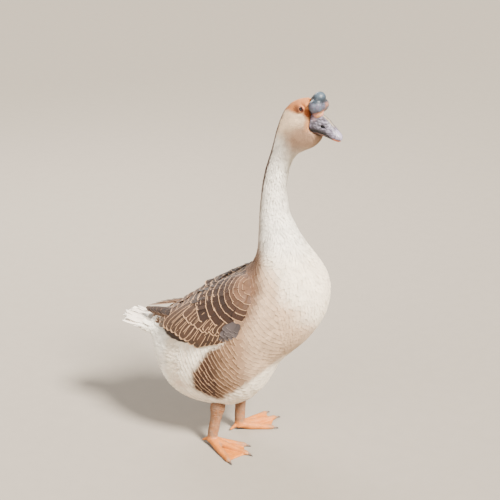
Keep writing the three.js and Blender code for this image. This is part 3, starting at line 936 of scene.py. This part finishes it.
# ---- Wing feathers
# A folded wing shows four layers, each over the next: rounded scapulars that grow longer from the
# shoulder, lilac-grey feathers at the wrist, a row of coverts, and the secondaries with their tips
# along the wing's lower edge. All but the grey ones are dark brown with pale edges.
# share of the length and half-width
LARGE_VANE = [
    (0.0, 0.3), (0.1, 0.62), (0.25, 0.86), (0.45, 0.97), (0.65, 1.0), (0.82, 0.93), (0.92, 0.74),
    (0.98, 0.42), (1.0, 0.2),
]
BLUNT_VANE = [(0.0, 0.35), (0.2, 0.75), (0.45, 0.95), (0.7, 1.0), (0.82, 1.0), (0.92, 0.93), (1.0, 0.7)]
SHOULDER = (92, 400)
# distance from the shoulder, length and width of a feather
SCAPULAR_ROWS = [
    (0, 16, 14), (8, 18, 15), (16, 21, 17), (24, 25, 20), (33, 29, 24),
    (43, 34, 28), (55, 39, 32), (69, 44, 36), (85, 50, 40), (102, 56, 44),
]
SCAPULAR_SPREAD = (-44, 92)
SCAPULAR_REACH = ((-44, -20, 10, 30, 50, 65, 80, 92), (128, 150, 158, 140, 108, 90, 72, 60))
SECONDARY_TIPS = [
    (-104, 266), (-86, 266), (-66, 269), (-46, 262), (-28, 256), (-12, 253), (5, 260), (22, 270), (36, 276)
]
SECONDARY_ROOTS = [(-40, 338), (58, 326)]
SECONDARY_WIDTHS = (0.025, 0.018)
SECONDARY_COUNT = 13
COVERT_TIPS = [(-52, 306), (-34, 304), (-16, 298), (2, 294), (20, 294), (36, 298)]
COVERT_ROOTS = [(-14, 352), (66, 334)]
COVERT_COUNT = 9
WRIST_STEP = (-11, -16)
WRIST_ROOTS = [
    (50, 300), (58, 304), (66, 308), (74, 313), (54, 311),
    (62, 315), (70, 320), (78, 325), (60, 324), (68, 329),
]
COVERT_WIDTH = 0.019
WRIST_WIDTH = 0.0165
BLADE_THICK = 0.0006
SOFT_THICK = 0.0005
BACK_STEP = 14
BLADE = (0.0, 0.2, 0.4, 0.6, 0.8, 1.0)
WING_LIE = {"stiff": 0.75, "crown": 0.02, "vary": 0.04, "deep": 0.2, "tilt": 0.0}
SECONDARY_BROWN = tone("604a3a")
COVERT_BROWN = tone("5e4838")
SCAPULAR_BROWN = tone("4a3425")
WRIST_EDGE = tone("998e8b")


def large_vane(stations, across, tip_run=0.14, side_from=0.0):
    """A flat blade of one thickness, whose rim is pale on its sides and over a short run at its tip."""
    bm = bmesh.new()
    bmesh.ops.create_grid(bm, x_segments=len(stations) - 1, y_segments=across, size=1.0)
    stops = sorted({round(v.co.x, 5) for v in bm.verts})
    for vert in bm.verts:
        share, half = stations[stops.index(round(vert.co.x, 5))]
        vert.co = (share, vert.co.y * half, 0)
    bmesh.ops.recalc_face_normals(bm, faces=bm.faces)
    border = {v for v in bm.verts if v.is_boundary}
    rim_places = {(round(v.co.x, 5), round(v.co.y, 5)) for v in border}
    bmesh.ops.solidify(bm, geom=bm.faces[:], thickness=1.0)
    bmesh.ops.recalc_face_normals(bm, faces=bm.faces)
    floor_height = min(v.co.z for v in bm.verts)
    for vert in bm.verts:
        vert.co.z -= floor_height
    places = np.array([v.co for v in bm.verts])
    faces = ordered_faces(bm)
    on_rim = np.array([
        (round(v.co.x, 5), round(v.co.y, 5)) in rim_places and v.co.x >= side_from for v in bm.verts
    ])
    rim = np.maximum(np.clip((places[:, 0] - 1 + tip_run) / tip_run, 0, 1), on_rim)
    bm.free()
    return places, faces, rim


def from_side(x, z, hand):
    """The skin's place and normal met from the bird's right (hand -1) or left (hand 1)."""
    place, rise, _, _ = surface.ray_cast(spot(x, hand * 400, z), Vector((0, -hand, 0)))
    return place, rise


def stretch(start, end, count):
    """Places along a straight line."""
    return [tuple(a + (b - a) * k / max(count - 1, 1) for a, b in zip(start, end)) for k in range(count)]


def columns(rows):
    """A list of rows as one array for each column."""
    return [np.array(column) for column in zip(*rows)]


def spread_tips(tips, count, stray):
    """Side-on places spread evenly along a bent line, each a little off it."""
    turns = np.linspace(0, len(tips) - 1, count)
    even = np.stack([np.interp(turns, np.arange(len(tips)), row) for row in zip(*tips)], axis=1)
    return even + rng.normal(0, stray, even.shape)


def laid(hand, roots, tips):
    """Roots, normals, ways and lengths of feathers between pairs of side-on places."""
    starts = [from_side(*root, hand) for root in roots]
    ends = []
    for tip, start in zip(tips, starts):
        end = from_side(*tip, hand)[0]
        flat = spot(tip[0], 0, tip[1])
        flat.y = start[0].y
        ends.append(flat if end is None else end)
    places, facing = columns(starts)
    arms = np.array(ends) - places
    return places, facing, along_skin(arms, facing), np.linalg.norm(arms, axis=1)


def fanned(hand):
    """The scapulars' roots, normals, ways, lengths, widths, rows and turns, spread from the shoulder."""
    centre, rise = from_side(*SHOULDER, hand)
    rear = Vector((-1, 0, 0)) - rise * Vector((-1, 0, 0)).dot(rise)
    rear.normalize()
    down = rise.cross(rear)
    if down.z > 0:
        down.negate()
    kept = []
    for row, (away, length, width) in enumerate(SCAPULAR_ROWS):
        low, high = SCAPULAR_SPREAD
        step = math.degrees(0.6 * width / (away + 0.5 * length))
        for turn in np.arange(low + (row % 2) * step / 2, high, step):
            if away + length > np.interp(turn, *SCAPULAR_REACH) + 6:
                continue
            angle = math.radians(turn + rng.normal(0, 1.0))
            way = rear * math.cos(angle) + down * math.sin(angle)
            spine, rises = walk([centre], [rise], [way], [away * 0.001], (0.0, 0.25, 0.5, 0.75, 1.0), -1)
            ahead = Vector(spine[0, -1] - spine[0, -2]) if away > 4 else way
            normal = Vector(rises[0, -1])
            ahead = (ahead - normal * ahead.dot(normal)).normalized()
            long = length * rng.normal(1, 0.04) * 0.001
            kept.append((spine[0, -1], normal, ahead, long, width * 0.001, row, turn))
    return columns(kept)


def tinted(colour, count, spread):
    """One colour for each feather, each a little lighter or darker."""
    return colour[None, :] * np.clip(rng.normal(1, spread, (count, 1)), 0.6, 1.4)


def blades(name, slot, shape, rooted, width, thick, lift, colour, edge, material, **more):
    """A piece of large feathers, whose colour and edge come with the spread of their tint."""
    count = len(rooted[0])
    piece = vanes(
        name, shape, *rooted, np.broadcast_to(width, (count,)), thick, lift,
        tinted(colour[0], count, colour[1]), tinted(edge[0], count, edge[1]), material, shares=BLADE, **more
    )
    return piece


large = large_vane(LARGE_VANE, 6)
blunt = large_vane(BLUNT_VANE, 6, 0.12, 0.9)
covert_shape = large_vane(BLUNT_VANE, 6, 0.12)
wing_plume = plume_finish("plume_wing", 0.55, 0.64, 0.16)
tract(
    "coat_back", "plumage_brown", blunt, 12.0, on_back, (38.0, 25.0), (0.001, 0.0050),
    rows=lambda own: -own[:, 0] / BACK_STEP, material=wing_plume, shares=BLADE,
    deep=0.25, stray=0.04, crown=0.1, patch=0.006,
)
for hand, side in ((-1, "right"), (1, "left")):
    tips = spread_tips(SECONDARY_TIPS, SECONDARY_COUNT, 1.4)
    order = np.arange(SECONDARY_COUNT)[::-1, None]
    blades(
        "secondaries_" + side, "plumage_brown", large,
        laid(hand, stretch(*SECONDARY_ROOTS, SECONDARY_COUNT), tips),
        np.linspace(*SECONDARY_WIDTHS, SECONDARY_COUNT), BLADE_THICK,
        (0.0004, 0.0048) + order * 0.0003, (SECONDARY_BROWN, 0.12), (PALE_EDGE, 0.05), wing_plume,
        sweep=hand * 0.03, patch=0.01, **WING_LIE,
    )
    tips = spread_tips(COVERT_TIPS, COVERT_COUNT, 1.2)
    order = np.arange(COVERT_COUNT)[::-1, None]
    blades(
        "coverts_" + side, "plumage_brown", covert_shape,
        laid(hand, stretch(*COVERT_ROOTS, COVERT_COUNT), tips), COVERT_WIDTH, BLADE_THICK,
        (0.0010, 0.0042) + order * (0.0001, 0.0004), (COVERT_BROWN, 0.1), (PALE_EDGE, 0.05), wing_plume,
        patch=0.008, **WING_LIE,
    )
    tips = [(x + WRIST_STEP[0], z + WRIST_STEP[1]) for x, z in WRIST_ROOTS]
    order = np.arange(len(tips))[:, None]
    blades(
        "wrist_feathers_" + side, "plumage_brown", blunt, laid(hand, WRIST_ROOTS, tips), WRIST_WIDTH,
        SOFT_THICK, (0.0034, 0.0048) + order * 0.0003, (WING_LILAC, 0.08), (WRIST_EDGE, 0.05), wing_plume,
        stiff=0.6, crown=0.05, vary=0.05, deep=0.3, tilt=0.0, patch=0.006,
    )
    *rooted, width, row, turn = fanned(hand)
    near_share = band(row.astype(float), 5.0, 0.5)[:, None]
    colours = tinted(SCAPULAR_BROWN, len(row), 0.12) * (1 - near_share)
    colours += tinted(BACK_BROWN, len(row), 0.08) * near_share
    scapulars = vanes(
        "scapulars_" + side, blunt, *rooted, width, SOFT_THICK,
        (0.0026, 0.0060) - row[:, None] * 0.0001 - turn[:, None] * 0.000015, colours,
        tinted(PALE_EDGE, len(row), 0.06), wing_plume, shares=BLADE, stiff=0.5, crown=0.02, vary=0.05,
        deep=0.25, tilt=0.0, patch=0.006,
    )

# ---- Primaries
# The outer flight feathers of each wing reach out from under the secondaries over the rump:
# long, narrow, dark brown blades in a flat stack, each a little shorter than the one over it.
PRIMARY_TIPS = [
    (-180, 6, 284), (-174, 10, 286), (-166, 15, 289), (-156, 20, 292), (-145, 26, 294), (-132, 32, 296),
    (-118, 38, 297),
]
PRIMARY_ROOTS = [(-44, 72, 297), (-44, 46, 306)]
PRIMARY_WIDTHS = (0.019, 0.026)
PRIMARY_THICK = 0.0008
PRIMARY_BROWN = tone("412e21")
primary_plume = plume_finish("plume_primary", 0.6, 0.86, 0.16)
primary_shape = large_vane(LARGE_VANE, 8, 0.06)
for hand, side in ((-1, "right"), (1, "left")):
    rooted = []
    for root, tip in zip(stretch(*PRIMARY_ROOTS, len(PRIMARY_TIPS)), PRIMARY_TIPS):
        start = spot(root[0], hand * root[1], root[2])
        arm = spot(tip[0], hand * tip[1], tip[2]) - start
        rise = Vector((0.1, hand * 0.55, 1)).normalized()
        rise = (rise - arm * rise.dot(arm) / arm.length_squared).normalized()
        rooted.append((start, rise, arm.normalized(), arm.length))
    primaries = blades(
        "primary_feathers_" + side, "plumage_brown", primary_shape, columns(rooted),
        np.linspace(*PRIMARY_WIDTHS, len(rooted)), PRIMARY_THICK, (0.0, 0.0),
        (PRIMARY_BROWN, 0.1), (BACK_EDGE, 0.05), primary_plume,
        stiff=2, crown=0.2, vary=0.04, deep=0.1, tilt=0.04, patch=0.01,
    )
    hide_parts("primaries_" + side)

# ---- Tail
# Thirty narrow white tail feathers in three layers spread in a flat fan, with a ragged end, over the
# skin's short tail and under the long white feathers that grow back from the rump and the vent.
TAIL_ROOT = (-146, 250)
TAIL_TIP = (-229, 262)
TAIL_HALF_WIDTHS = (22, 37)
TAIL_RAGGED = (-16, 7)
TAIL_CURVE = 12
TAIL_STRAY = 3
TAIL_FEATHER = 0.013
TAIL_TIP_LIFT = 0.005
TAIL_LIFTS = (6.0, 1.0, -4.0)
TAIL_ROW = 10
TAIL_VANE = [(0.0, 0.3), (0.2, 0.75), (0.5, 1.0), (0.72, 0.94), (0.86, 0.7), (0.95, 0.38), (1.0, 0.12)]
TAIL_WHITE = tone("ece2d5")
TAIL_EDGE = tone("faf6ef")
tail_shape = large_vane(TAIL_VANE, 6)
tail_plume = plume_finish("plume_tail", 0.7, 0.75, 0.1)
rooted = []
for lift_up in TAIL_LIFTS:
    for share in np.linspace(-1, 1, TAIL_ROW):
        root = spot(TAIL_ROOT[0], TAIL_HALF_WIDTHS[0] * share, TAIL_ROOT[1] + lift_up)
        reach = TAIL_TIP[0] + TAIL_CURVE * share ** 2 - rng.uniform(*TAIL_RAGGED)
        aside = TAIL_HALF_WIDTHS[1] * share + rng.uniform(-TAIL_STRAY, TAIL_STRAY)
        goal = spot(reach, aside, TAIL_TIP[1] + 0.5 * lift_up)
        rise = Vector((0.12, 0.22 * share, 1)).normalized()
        arm = goal - root
        rooted.append((root, rise, (arm - rise * arm.dot(rise)).normalized(), arm.length))
tip_lift = rng.uniform(0, TAIL_TIP_LIFT, len(rooted))
blades(
    "tail_feathers", "plumage_pale", tail_shape, columns(rooted), TAIL_FEATHER, BLADE_THICK,
    np.stack([np.zeros(len(rooted)), tip_lift], axis=1), (TAIL_WHITE, 0.07), (TAIL_EDGE, 0.02), tail_plume,
    stiff=2, crown=0.3, vary=0.03, deep=0.1, tilt=0.12, patch=0.008,
)

# ---- Legs
# Each shank and webbed foot is one dusty, pink-orange skin of horny scales: small many-sided ones
# round the shank, broad ones across the top of each toe, and soft orange web between the toes.
LEG_VOXEL = 0.0011
LEG_PUFF = 0.0005
LEG_RELAXED = 4
HEEL_HEIGHT = 0.008
SHANK_FROM = (0.014, 0.026)
SWELL_FROM = (0.018, 0.034)
FOLD_FROM = (0.055, 0.066)
SCALE_SIZE = 0.0034
SCUTE_STEP = 0.0042
TOE_RADIUS = 0.0062
SHANK_SWELL = 0.0012
SHANK_DUST = tone("9d8068")
SHANK_ORANGE = tone("b87a38")
TOE_PINK = tone("b88a5e")
WEB_ORANGE = tone("d68c2e")
SOLE_GREY = tone("83614c")
FOLD_DEPTH = 0.0007
CRACK_DEPTH = 0.0009
SCUTE_DEPTH = 0.0006
WEB_DEPTH = 0.00012


def coloured_piece(name, bm, material, shades, slot, *replaced):
    """A finished piece with a colour for each corner, in the place of the named solids."""
    piece = mesh_object(name, bm, material)
    colour_points(piece.data, "marking", shades)
    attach(piece, "root")
    if replaced:
        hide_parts(*replaced)


def cracks(place, size):
    """0 in the joint between two scales of the given size, 1 on them."""
    nearest = noise.voronoi(place / size)[0]
    return float(band(nearest[1] - nearest[0], 0.02, 0.34))


def tinted_finish(name, roughness, grain, grain_depth, bump_scale, bump_depth, coat=0.0):
    """A finish that takes its colour from the mesh, with a fine grain in tone and relief."""
    material, tree, shader = made_material(name, roughness)
    cloud = mottle(tree, grain, 1 - grain_depth, 1 + grain_depth, 5.0)
    tree.links.new(shaded(tree, stored(tree, "marking"), cloud), shader.inputs["Base Color"])
    relief(tree, shader, mottle(tree, bump_scale, 0, 1), 0.5, bump_depth)
    tree.links.new(mottle(tree, grain * 0.6, roughness - 0.08, roughness + 0.1), shader.inputs["Roughness"])
    shader.inputs["Coat Weight"].default_value = coat
    shader.inputs["Coat Roughness"].default_value = 0.25
    return material


leg_finish = tinted_finish("leg_skin", 0.55, 420, 0.14, 1400, 0.0003)
for side in ("right", "left"):
    leg = remeshed(merged_copy(["shank_" + side, "foot_" + side], LEG_PUFF), LEG_VOXEL, LEG_RELAXED)
    largest_part(leg)
    low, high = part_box("shank_" + side)
    heel = Vector(((low.x + high.x) / 2, (low.y + high.y) / 2, HEEL_HEIGHT))
    toes = []
    for toe in ("inner", "middle", "outer"):
        claw_low, claw_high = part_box("claw_" + side + "_" + toe)
        tip = (claw_low + claw_high) / 2
        toes.append((tip, (tip - heel).normalized()))
    shades = []
    shifts = []
    for vert in leg.verts:
        vert.co += vert.normal * SHANK_SWELL * float(band(vert.co.z, *SWELL_FROM))
        place = vert.co
        on_shank = float(band(place.z, *SHANK_FROM))
        arm = place - heel
        gaps = []
        for tip, way in toes:
            run = arm.dot(way)
            off = (arm - way * run).length
            gaps.append((off if run > 0 else arm.length, run))
        gap, run = min(gaps)
        on_toe = float(band(gap, TOE_RADIUS * 1.25, TOE_RADIUS * 0.8)) * (1 - on_shank)
        scale = cracks(place, SCALE_SIZE)
        across = abs((run / SCUTE_STEP + 0.15 * noise.noise(place * 300)) % 1 - 0.5) * 2
        scute = float(band(across, 0.98, 0.7)) if vert.normal.z > 0.15 else 1.0
        fine = cracks(place, SCALE_SIZE * 0.45)
        web = (1 - on_toe) * (1 - on_shank)
        fold = 0.5 + 0.5 * math.sin(place.z * 1300 + 3 * noise.noise(place * 160))
        folded = float(band(place.z, *FOLD_FROM)) * fold
        drop = FOLD_DEPTH * folded + CRACK_DEPTH * on_shank * (1 - scale)
        drop += SCUTE_DEPTH * on_toe * (1 - scute) + WEB_DEPTH * web * (1 - fine)
        shifts.append(-vert.normal * drop)
        dust = noise.noise(place * 90 + Vector((3, 5, 7)))
        shank = SHANK_DUST * (0.35 + 0.65 * scale) + SHANK_ORANGE * (0.65 - 0.65 * scale)
        toe_colour = TOE_PINK * scute + WEB_ORANGE * (1 - scute)
        web_colour = WEB_ORANGE * (0.75 + 0.2 * fine) + TOE_PINK * (0.25 - 0.2 * fine)
        colour = shank * on_shank + toe_colour * on_toe + web_colour * web
        # Painted shade: the folds near the hock are darkened as well as sunk.
        colour = colour * (1 + 0.35 * dust) * (1 - 0.3 * folded)
        muddy = float(np.clip(0.35 + 1.8 * dust, 0, 0.75)) * (0.3 + 0.7 * on_shank + 0.6 * on_toe)
        colour = colour * (1 - muddy) + SHANK_DUST * 0.9 * muddy
        under = float(band(-vert.normal.z, 0.3, 0.8)) * (1 - on_shank)
        shades.append(colour * (1 - under) + SOLE_GREY * under)
    for vert, shift in zip(leg.verts, shifts):
        vert.co += shift
        vert.co.z = max(vert.co.z, 0.0)
    coloured_piece("leg_" + side, leg, leg_finish, shades, "skin_orange", "shank_" + side, "foot_" + side)

# ---- Claws
# Three short blunt claws of grey-brown horn grow from the ends of the toes on each foot, darker
# towards the point and a little worn.
CLAW_PUFF = 0.0002
CLAW_VOXEL = 0.0005
CLAW_RELAXED = 4
CLAW_DARKENS = (0.001, 0.01)
CLAW_ROOT = tone("9a8270")
CLAW_POINT = tone("4a3c34")
claw_finish = tinted_finish("claw_horn", 0.4, 500, 0.12, 1600, 0.0001, 0.3)
for side in ("right", "left"):
    names = ["claw_" + side + "_" + toe for toe in ("inner", "middle", "outer")]
    claws = remeshed(merged_copy(names, CLAW_PUFF), CLAW_VOXEL, CLAW_RELAXED)
    low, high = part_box("shank_" + side)
    heel = (low + high) / 2
    starts = [min((Vector(v.co) - heel).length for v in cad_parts[n].data.vertices) for n in names]
    middles = [sum(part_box(n), Vector()) / 2 for n in names]
    shades = []
    for vert in claws.verts:
        vert.co.z = max(vert.co.z, 0.0)
        nearest = min(range(3), key=lambda k: (vert.co - middles[k]).length)
        share = float(band((vert.co - heel).length - starts[nearest], *CLAW_DARKENS))
        shades.append(CLAW_ROOT * (1 - share) + CLAW_POINT * share)
    coloured_piece("claws_" + side, claws, claw_finish, shades, "horn_claw", *names)

# ---- Bill
# The upper bill is grey horn, lilac at its base and pale lavender towards the nail, with a slit
# nostril on each side, painted black inside as shade. A painted highlight runs along its ridge and
# painted shade darkens its lower sides. Along its edge a black band of painted shade stands for the
# gap between the bills, lined with short horny teeth over the thin lower bill, whose nail is a
# pinkish orange.
BILL_GREY = tone("5c575d")
BILL_FLECK = tone("918b93")
BILL_LILAC = tone("54435c")
BILL_LAVENDER = tone("8f8797")
GAP_SHADE_BLACK = tone("17151a")
NAIL_PALE = tone("aea6b6")
RIDGE_HIGHLIGHT = tone("c0b49c")
BASE_PINK = tone("a17f80")
LOWER_NAIL = tone("d08560")
LOWER_BROWN = tone("8a5f49")
MOUTH_LINE = ((206, 231, 243, 254, 264, 272, 279), (740.6, 740.1, 738.4, 735.6, 732.1, 729.3, 727.5))
BILL_SIDE = ((206, 218, 231, 243, 254, 264), (17.5, 17.5, 16.4, 15, 14, 13.4))
NOSTRIL = (243, 751.5)
NOSTRIL_DEPTH = 0.0012
NAIL_GROOVE = 0.00035
RIPPLE_DEPTH = 0.00018
WRINKLE_DEPTH = 0.0003
BILL_PUFF = 0.0003
BILL_VOXEL = 0.0009
UPPER_RELAXED = 5
LOWER_RELAXED = 4
TOOTH_COUNT = 24
TOOTH_RUN = (212, 258)
TOOTH_HEIGHT = 0.0026
TOOTH_RADII = (0.0004, 0.0011)
TOOTH_INSET = 2.3
TOOTH_GREY = tone("6a6468")


def layered(base, *layers):
    """Colours laid over one another, each by its own share at each place."""
    for colour, share in layers:
        share = np.clip(share, 0, 1)[:, None]
        base = base * (1 - share) + colour * share
    return base


bill_finish = tinted_finish("bill_horn", 0.42, 330, 0.16, 900, 0.0002, 0.25)
upper = remeshed(merged_copy(["bill_upper"], BILL_PUFF), BILL_VOXEL, UPPER_RELAXED)
places = np.array([v.co for v in upper.verts])
x, y, z = straight_head(places).T
above = z - np.interp(x, *MOUTH_LINE)
nail_gauge = np.hypot((x - 273.5) / 7.5, y / 7.0)
groove = np.exp(-((nail_gauge - 1) / 0.16) ** 2) * band(x, 262, 267)
slit = np.hypot((x - NOSTRIL[0] + 0.45 * (z - NOSTRIL[1])) / 4.2, (z - NOSTRIL[1]) / 1.7)
ripple = clouds(places * 1000, 2.6, 11)
wrinkle = clouds(places * 1000, 6.0, 12)
sunk = NAIL_GROOVE * groove + NOSTRIL_DEPTH * band(slit, 1.5, 0.7)
sunk += RIPPLE_DEPTH * ripple + WRINKLE_DEPTH * wrinkle
for vert, drop in zip(upper.verts, sunk):
    vert.co -= vert.normal * drop
flecks = clouds(places * 1000, 3.2, 13)
smear = clouds(places * 1000, 11.0, 14)
streaks = clouds(np.stack([x / 3, y, z + 0.16 * x], axis=1), 2.2, 16)
shades = layered(
    BILL_GREY,
    (BILL_LILAC, band(x, 224, 212) * (0.75 + smear)),
    (BILL_LAVENDER, band(x, 250, 268) * 0.85),
    (BILL_FLECK, band(flecks, 0.0, 0.5) * 0.45),
    (BILL_LILAC * 0.7, band(-flecks, 0.1, 0.5) * 0.4),
    (NAIL_PALE, band(streaks, 0.08, 0.4) * 0.55),
    (BILL_LILAC * 0.6, band(-streaks, 0.1, 0.42) * 0.6),
    # Painted highlight along the top ridge of the bill, where the light falls.
    (RIDGE_HIGHLIGHT, band(np.abs(y), 4.0, 1.5) * band(x, 226, 238) * band(x, 266, 256) * 0.6),
    (NAIL_PALE, band(nail_gauge, 1.0, 0.85)),
    # Painted shade darkens the lower side of the bill above the mouth line.
    (BILL_LILAC * 0.45, band(above, 11, 3) * band(x, 258, 236) * (0.6 + smear)),
    (BASE_PINK, band(np.hypot(np.hypot(x - 221, (y + 4) / 1.3), z - 764), 12, 5) * 0.75),
    # Painted shade: black along the mouth line for the gap between the bills, and in each nostril slit.
    (GAP_SHADE_BLACK, band(above, 5.6, 3.0) * band(x, 262, 250)),
    (GAP_SHADE_BLACK, band(slit, 1.25, 0.85)),
)
coloured_piece("bill_upper_horn", upper, bill_finish, shades, "horn_bill", "bill_upper")

lower = remeshed(merged_copy(["bill_lower"], BILL_PUFF), BILL_VOXEL, LOWER_RELAXED)
places = np.array([v.co for v in lower.verts])
x, y, z = straight_head(places).T
below = np.interp(x, *MOUTH_LINE) - z
shades = layered(
    BILL_GREY * 0.8,
    (LOWER_BROWN, band(x, 262, 240) * (0.7 + clouds(places * 1000, 6, 15))),
    # Painted shade: black along the mouth line for the gap under the upper bill.
    (GAP_SHADE_BLACK, band(below, 3.2, 1.2) * band(x, 266, 254)),
    (LOWER_NAIL, band(x, 262, 269)),
)
coloured_piece("bill_lower_horn", lower, bill_finish, shades, "horn_bill", "bill_lower")

teeth = bmesh.new()
turned = Matrix.Rotation(HEAD_TURN, 4, "Z") @ Matrix.Diagonal((0.5, 1.2, 1, 1))
for hand in (-1, 1):
    for run in np.linspace(*TOOTH_RUN, TOOTH_COUNT):
        aside = hand * (np.interp(run, *BILL_SIDE) - TOOTH_INSET)
        own = np.array([[run, aside, np.interp(run, *MOUTH_LINE) - 0.6]])
        placed = turn_about(own, own[:, 2], 1, TURN_AXIS)[0]
        bmesh.ops.create_cone(
            teeth, cap_ends=True, segments=6, radius1=TOOTH_RADII[0], radius2=TOOTH_RADII[1],
            depth=TOOTH_HEIGHT, matrix=Matrix.Translation(spot(*placed)) @ turned,
        )
tooth_finish = tinted_finish("tooth_horn", 0.45, 400, 0.1, 1200, 0.0001)
coloured_piece("bill_teeth", teeth, tooth_finish, np.tile(TOOTH_GREY, (len(teeth.verts), 1)), "horn_bill")

# ---- Knob
# The knob is a fleshy growth in one piece: a smooth blue-grey ball on a broad swelling of two lobes,
# bluish on the right and pink-beige on the left, and a pink and yellow wart over the bill's ridge.
# Painted highlight pales the ball's top and a band on the swelling; painted shade darkens its rear
# edge, its underside and its hollows.
KNOB_BLUE = tone("424e58")
KNOB_HIGHLIGHT = tone("667580")
SWELLING = tone("726f7d")
LEFT_LOBE = tone("9c7a6c")
WART = tone("c39080")
WART_YELLOW = tone("bd9a56")
KNOB_SHADE = tone("2c2a33")
KNOB_PUFF = 0.0014
KNOB_VOXEL = 0.0011
KNOB_RELAXED = 24
CREASE_PASSES = 3
PIT_DEPTH = 0.00024
KNOB_FOLD_DEPTH = 0.001
FILLING = (226.0, 0.0, 789.0)
FILLING_RADIUS = 0.0122
knob_finish = tinted_finish("knob_skin", 0.5, 300, 0.12, 800, 0.0002, 0.15)
knob_rough = merged_copy(["knob"], KNOB_PUFF)
filling = np.array([FILLING])
bmesh.ops.create_icosphere(
    knob_rough, subdivisions=3, radius=FILLING_RADIUS,
    matrix=Matrix.Translation(spot(*turn_about(filling, filling[:, 2], 1, TURN_AXIS)[0])),
)
knob_mesh = remeshed(knob_rough, KNOB_VOXEL, KNOB_RELAXED)
places = np.array([v.co for v in knob_mesh.verts])
x, y, z = straight_head(places).T
pits = clouds(places * 1000, 2.4, 21)
folds = clouds(places * 1000, 6.5, 22)
sunk = PIT_DEPTH * pits + KNOB_FOLD_DEPTH * folds * band(z, 800, 792)
for vert, drop in zip(knob_mesh.verts, sunk):
    vert.co -= vert.normal * drop
knob_mesh.normal_update()
# Painted shade: concave places are found, softened and darkened below, like an occlusion pass.
rings = [[edge.other_vert(vert).index for edge in vert.link_edges] for vert in knob_mesh.verts]
now = np.array([vert.co for vert in knob_mesh.verts])
facing = np.array([vert.normal for vert in knob_mesh.verts])
creases = np.sum((np.array([now[ring].mean(axis=0) for ring in rings]) - now) * facing, axis=1)
for _ in range(CREASE_PASSES):
    creases = (creases + np.array([creases[ring].mean() for ring in rings])) / 2
on_wart = band(np.hypot(np.hypot(x - 228, y + 4), z - 772), 15.5, 10)
shades = layered(
    SWELLING,
    (LEFT_LOBE, band(y, -1, 6) * band(z, 800, 794)),
    (KNOB_BLUE, band(z, 794, 799)),
    # Painted highlight: the top of the ball is paler.
    (KNOB_HIGHLIGHT, band(z, 803, 813) * 0.8),
    # Painted highlight: a pale band along the top of the swelling, broken by its folds.
    (KNOB_HIGHLIGHT * 1.25, band(folds, 0.05, 0.4) * band(z, 798, 792) * 0.8),
    # Painted shade at the rear edge where the knob meets the cap, and under the knob.
    (KNOB_SHADE, band(x, 222, 214)),
    (KNOB_SHADE, band(z, 781, 772) * 0.85),
    (WART, on_wart),
    (WART_YELLOW, on_wart * band(folds, 0.0, 0.35) * 0.7),
    (KNOB_BLUE * 0.7, band(-pits, 0.1, 0.5) * 0.35),
    # Painted shade in the concave hollows.
    (KNOB_SHADE, band(creases, 0.00001, 0.00007) * 0.9),
)
coloured_piece("knob_skin", knob_mesh, knob_finish, shades, "horn_bill", "knob")

# ---- Eyes
# Each eye is a dark glossy ball between the lids: a wide black pupil, a ring of deep brown iris with
# fine spokes, and a dark brown rim, under a clear wet surface.
PUPIL = 0.0029
IRIS = 0.0054
SPOKES = 6
IRIS_BULGE = 0.0005
BALL_SHRINK = 0.985
IRIS_BROWN = tone("552a1e")
IRIS_AMBER = tone("6a3824")
EYE_RIM = tone("120a08")
eye_finish = tinted_finish("eye_wet", 0.2, 600, 0.05, 900, 0.00001, 0.3)
eye_shader = eye_finish.node_tree.nodes["Principled BSDF"]
eye_shader.inputs["Specular IOR Level"].default_value = 0.25
eye_shader.inputs["Coat Roughness"].default_value = 0.03
for side, eye in eyes.items():
    ball = bmesh.new()
    bmesh.ops.create_uvsphere(ball, u_segments=48, v_segments=32, radius=EYE_RADIUS)
    shades = []
    for vert in ball.verts:
        vert.co = vert.co * BALL_SHRINK
        span = math.hypot(vert.co.x, vert.co.y)
        if vert.co.z > 0 and span < IRIS:
            vert.co.z += IRIS_BULGE * (1 - (span / IRIS) ** 2)
        spokes = noise.noise(Vector((math.atan2(vert.co.y, vert.co.x) * SPOKES, 0, 3)))
        ring = IRIS_BROWN + (IRIS_AMBER - IRIS_BROWN) * float(np.clip(0.5 + spokes, 0, 1))
        share = float(band(span, PUPIL * 0.95, PUPIL * 1.05)) * float(band(span, IRIS * 1.03, IRIS * 0.97))
        shades.append(ring * share + EYE_RIM * (1 - share) * (0.25 if span < PUPIL else 1.0))
    bmesh.ops.rotate(
        ball, verts=ball.verts, cent=(0, 0, 0), matrix=eye["out"].to_track_quat("Z", "Y").to_matrix()
    )
    bmesh.ops.translate(ball, verts=ball.verts, vec=eye["centre"])
    for face in ball.faces:
        face.smooth = True
    coloured_piece("eyeball_" + side, ball, eye_finish, shades, "eye", "eye_" + side)
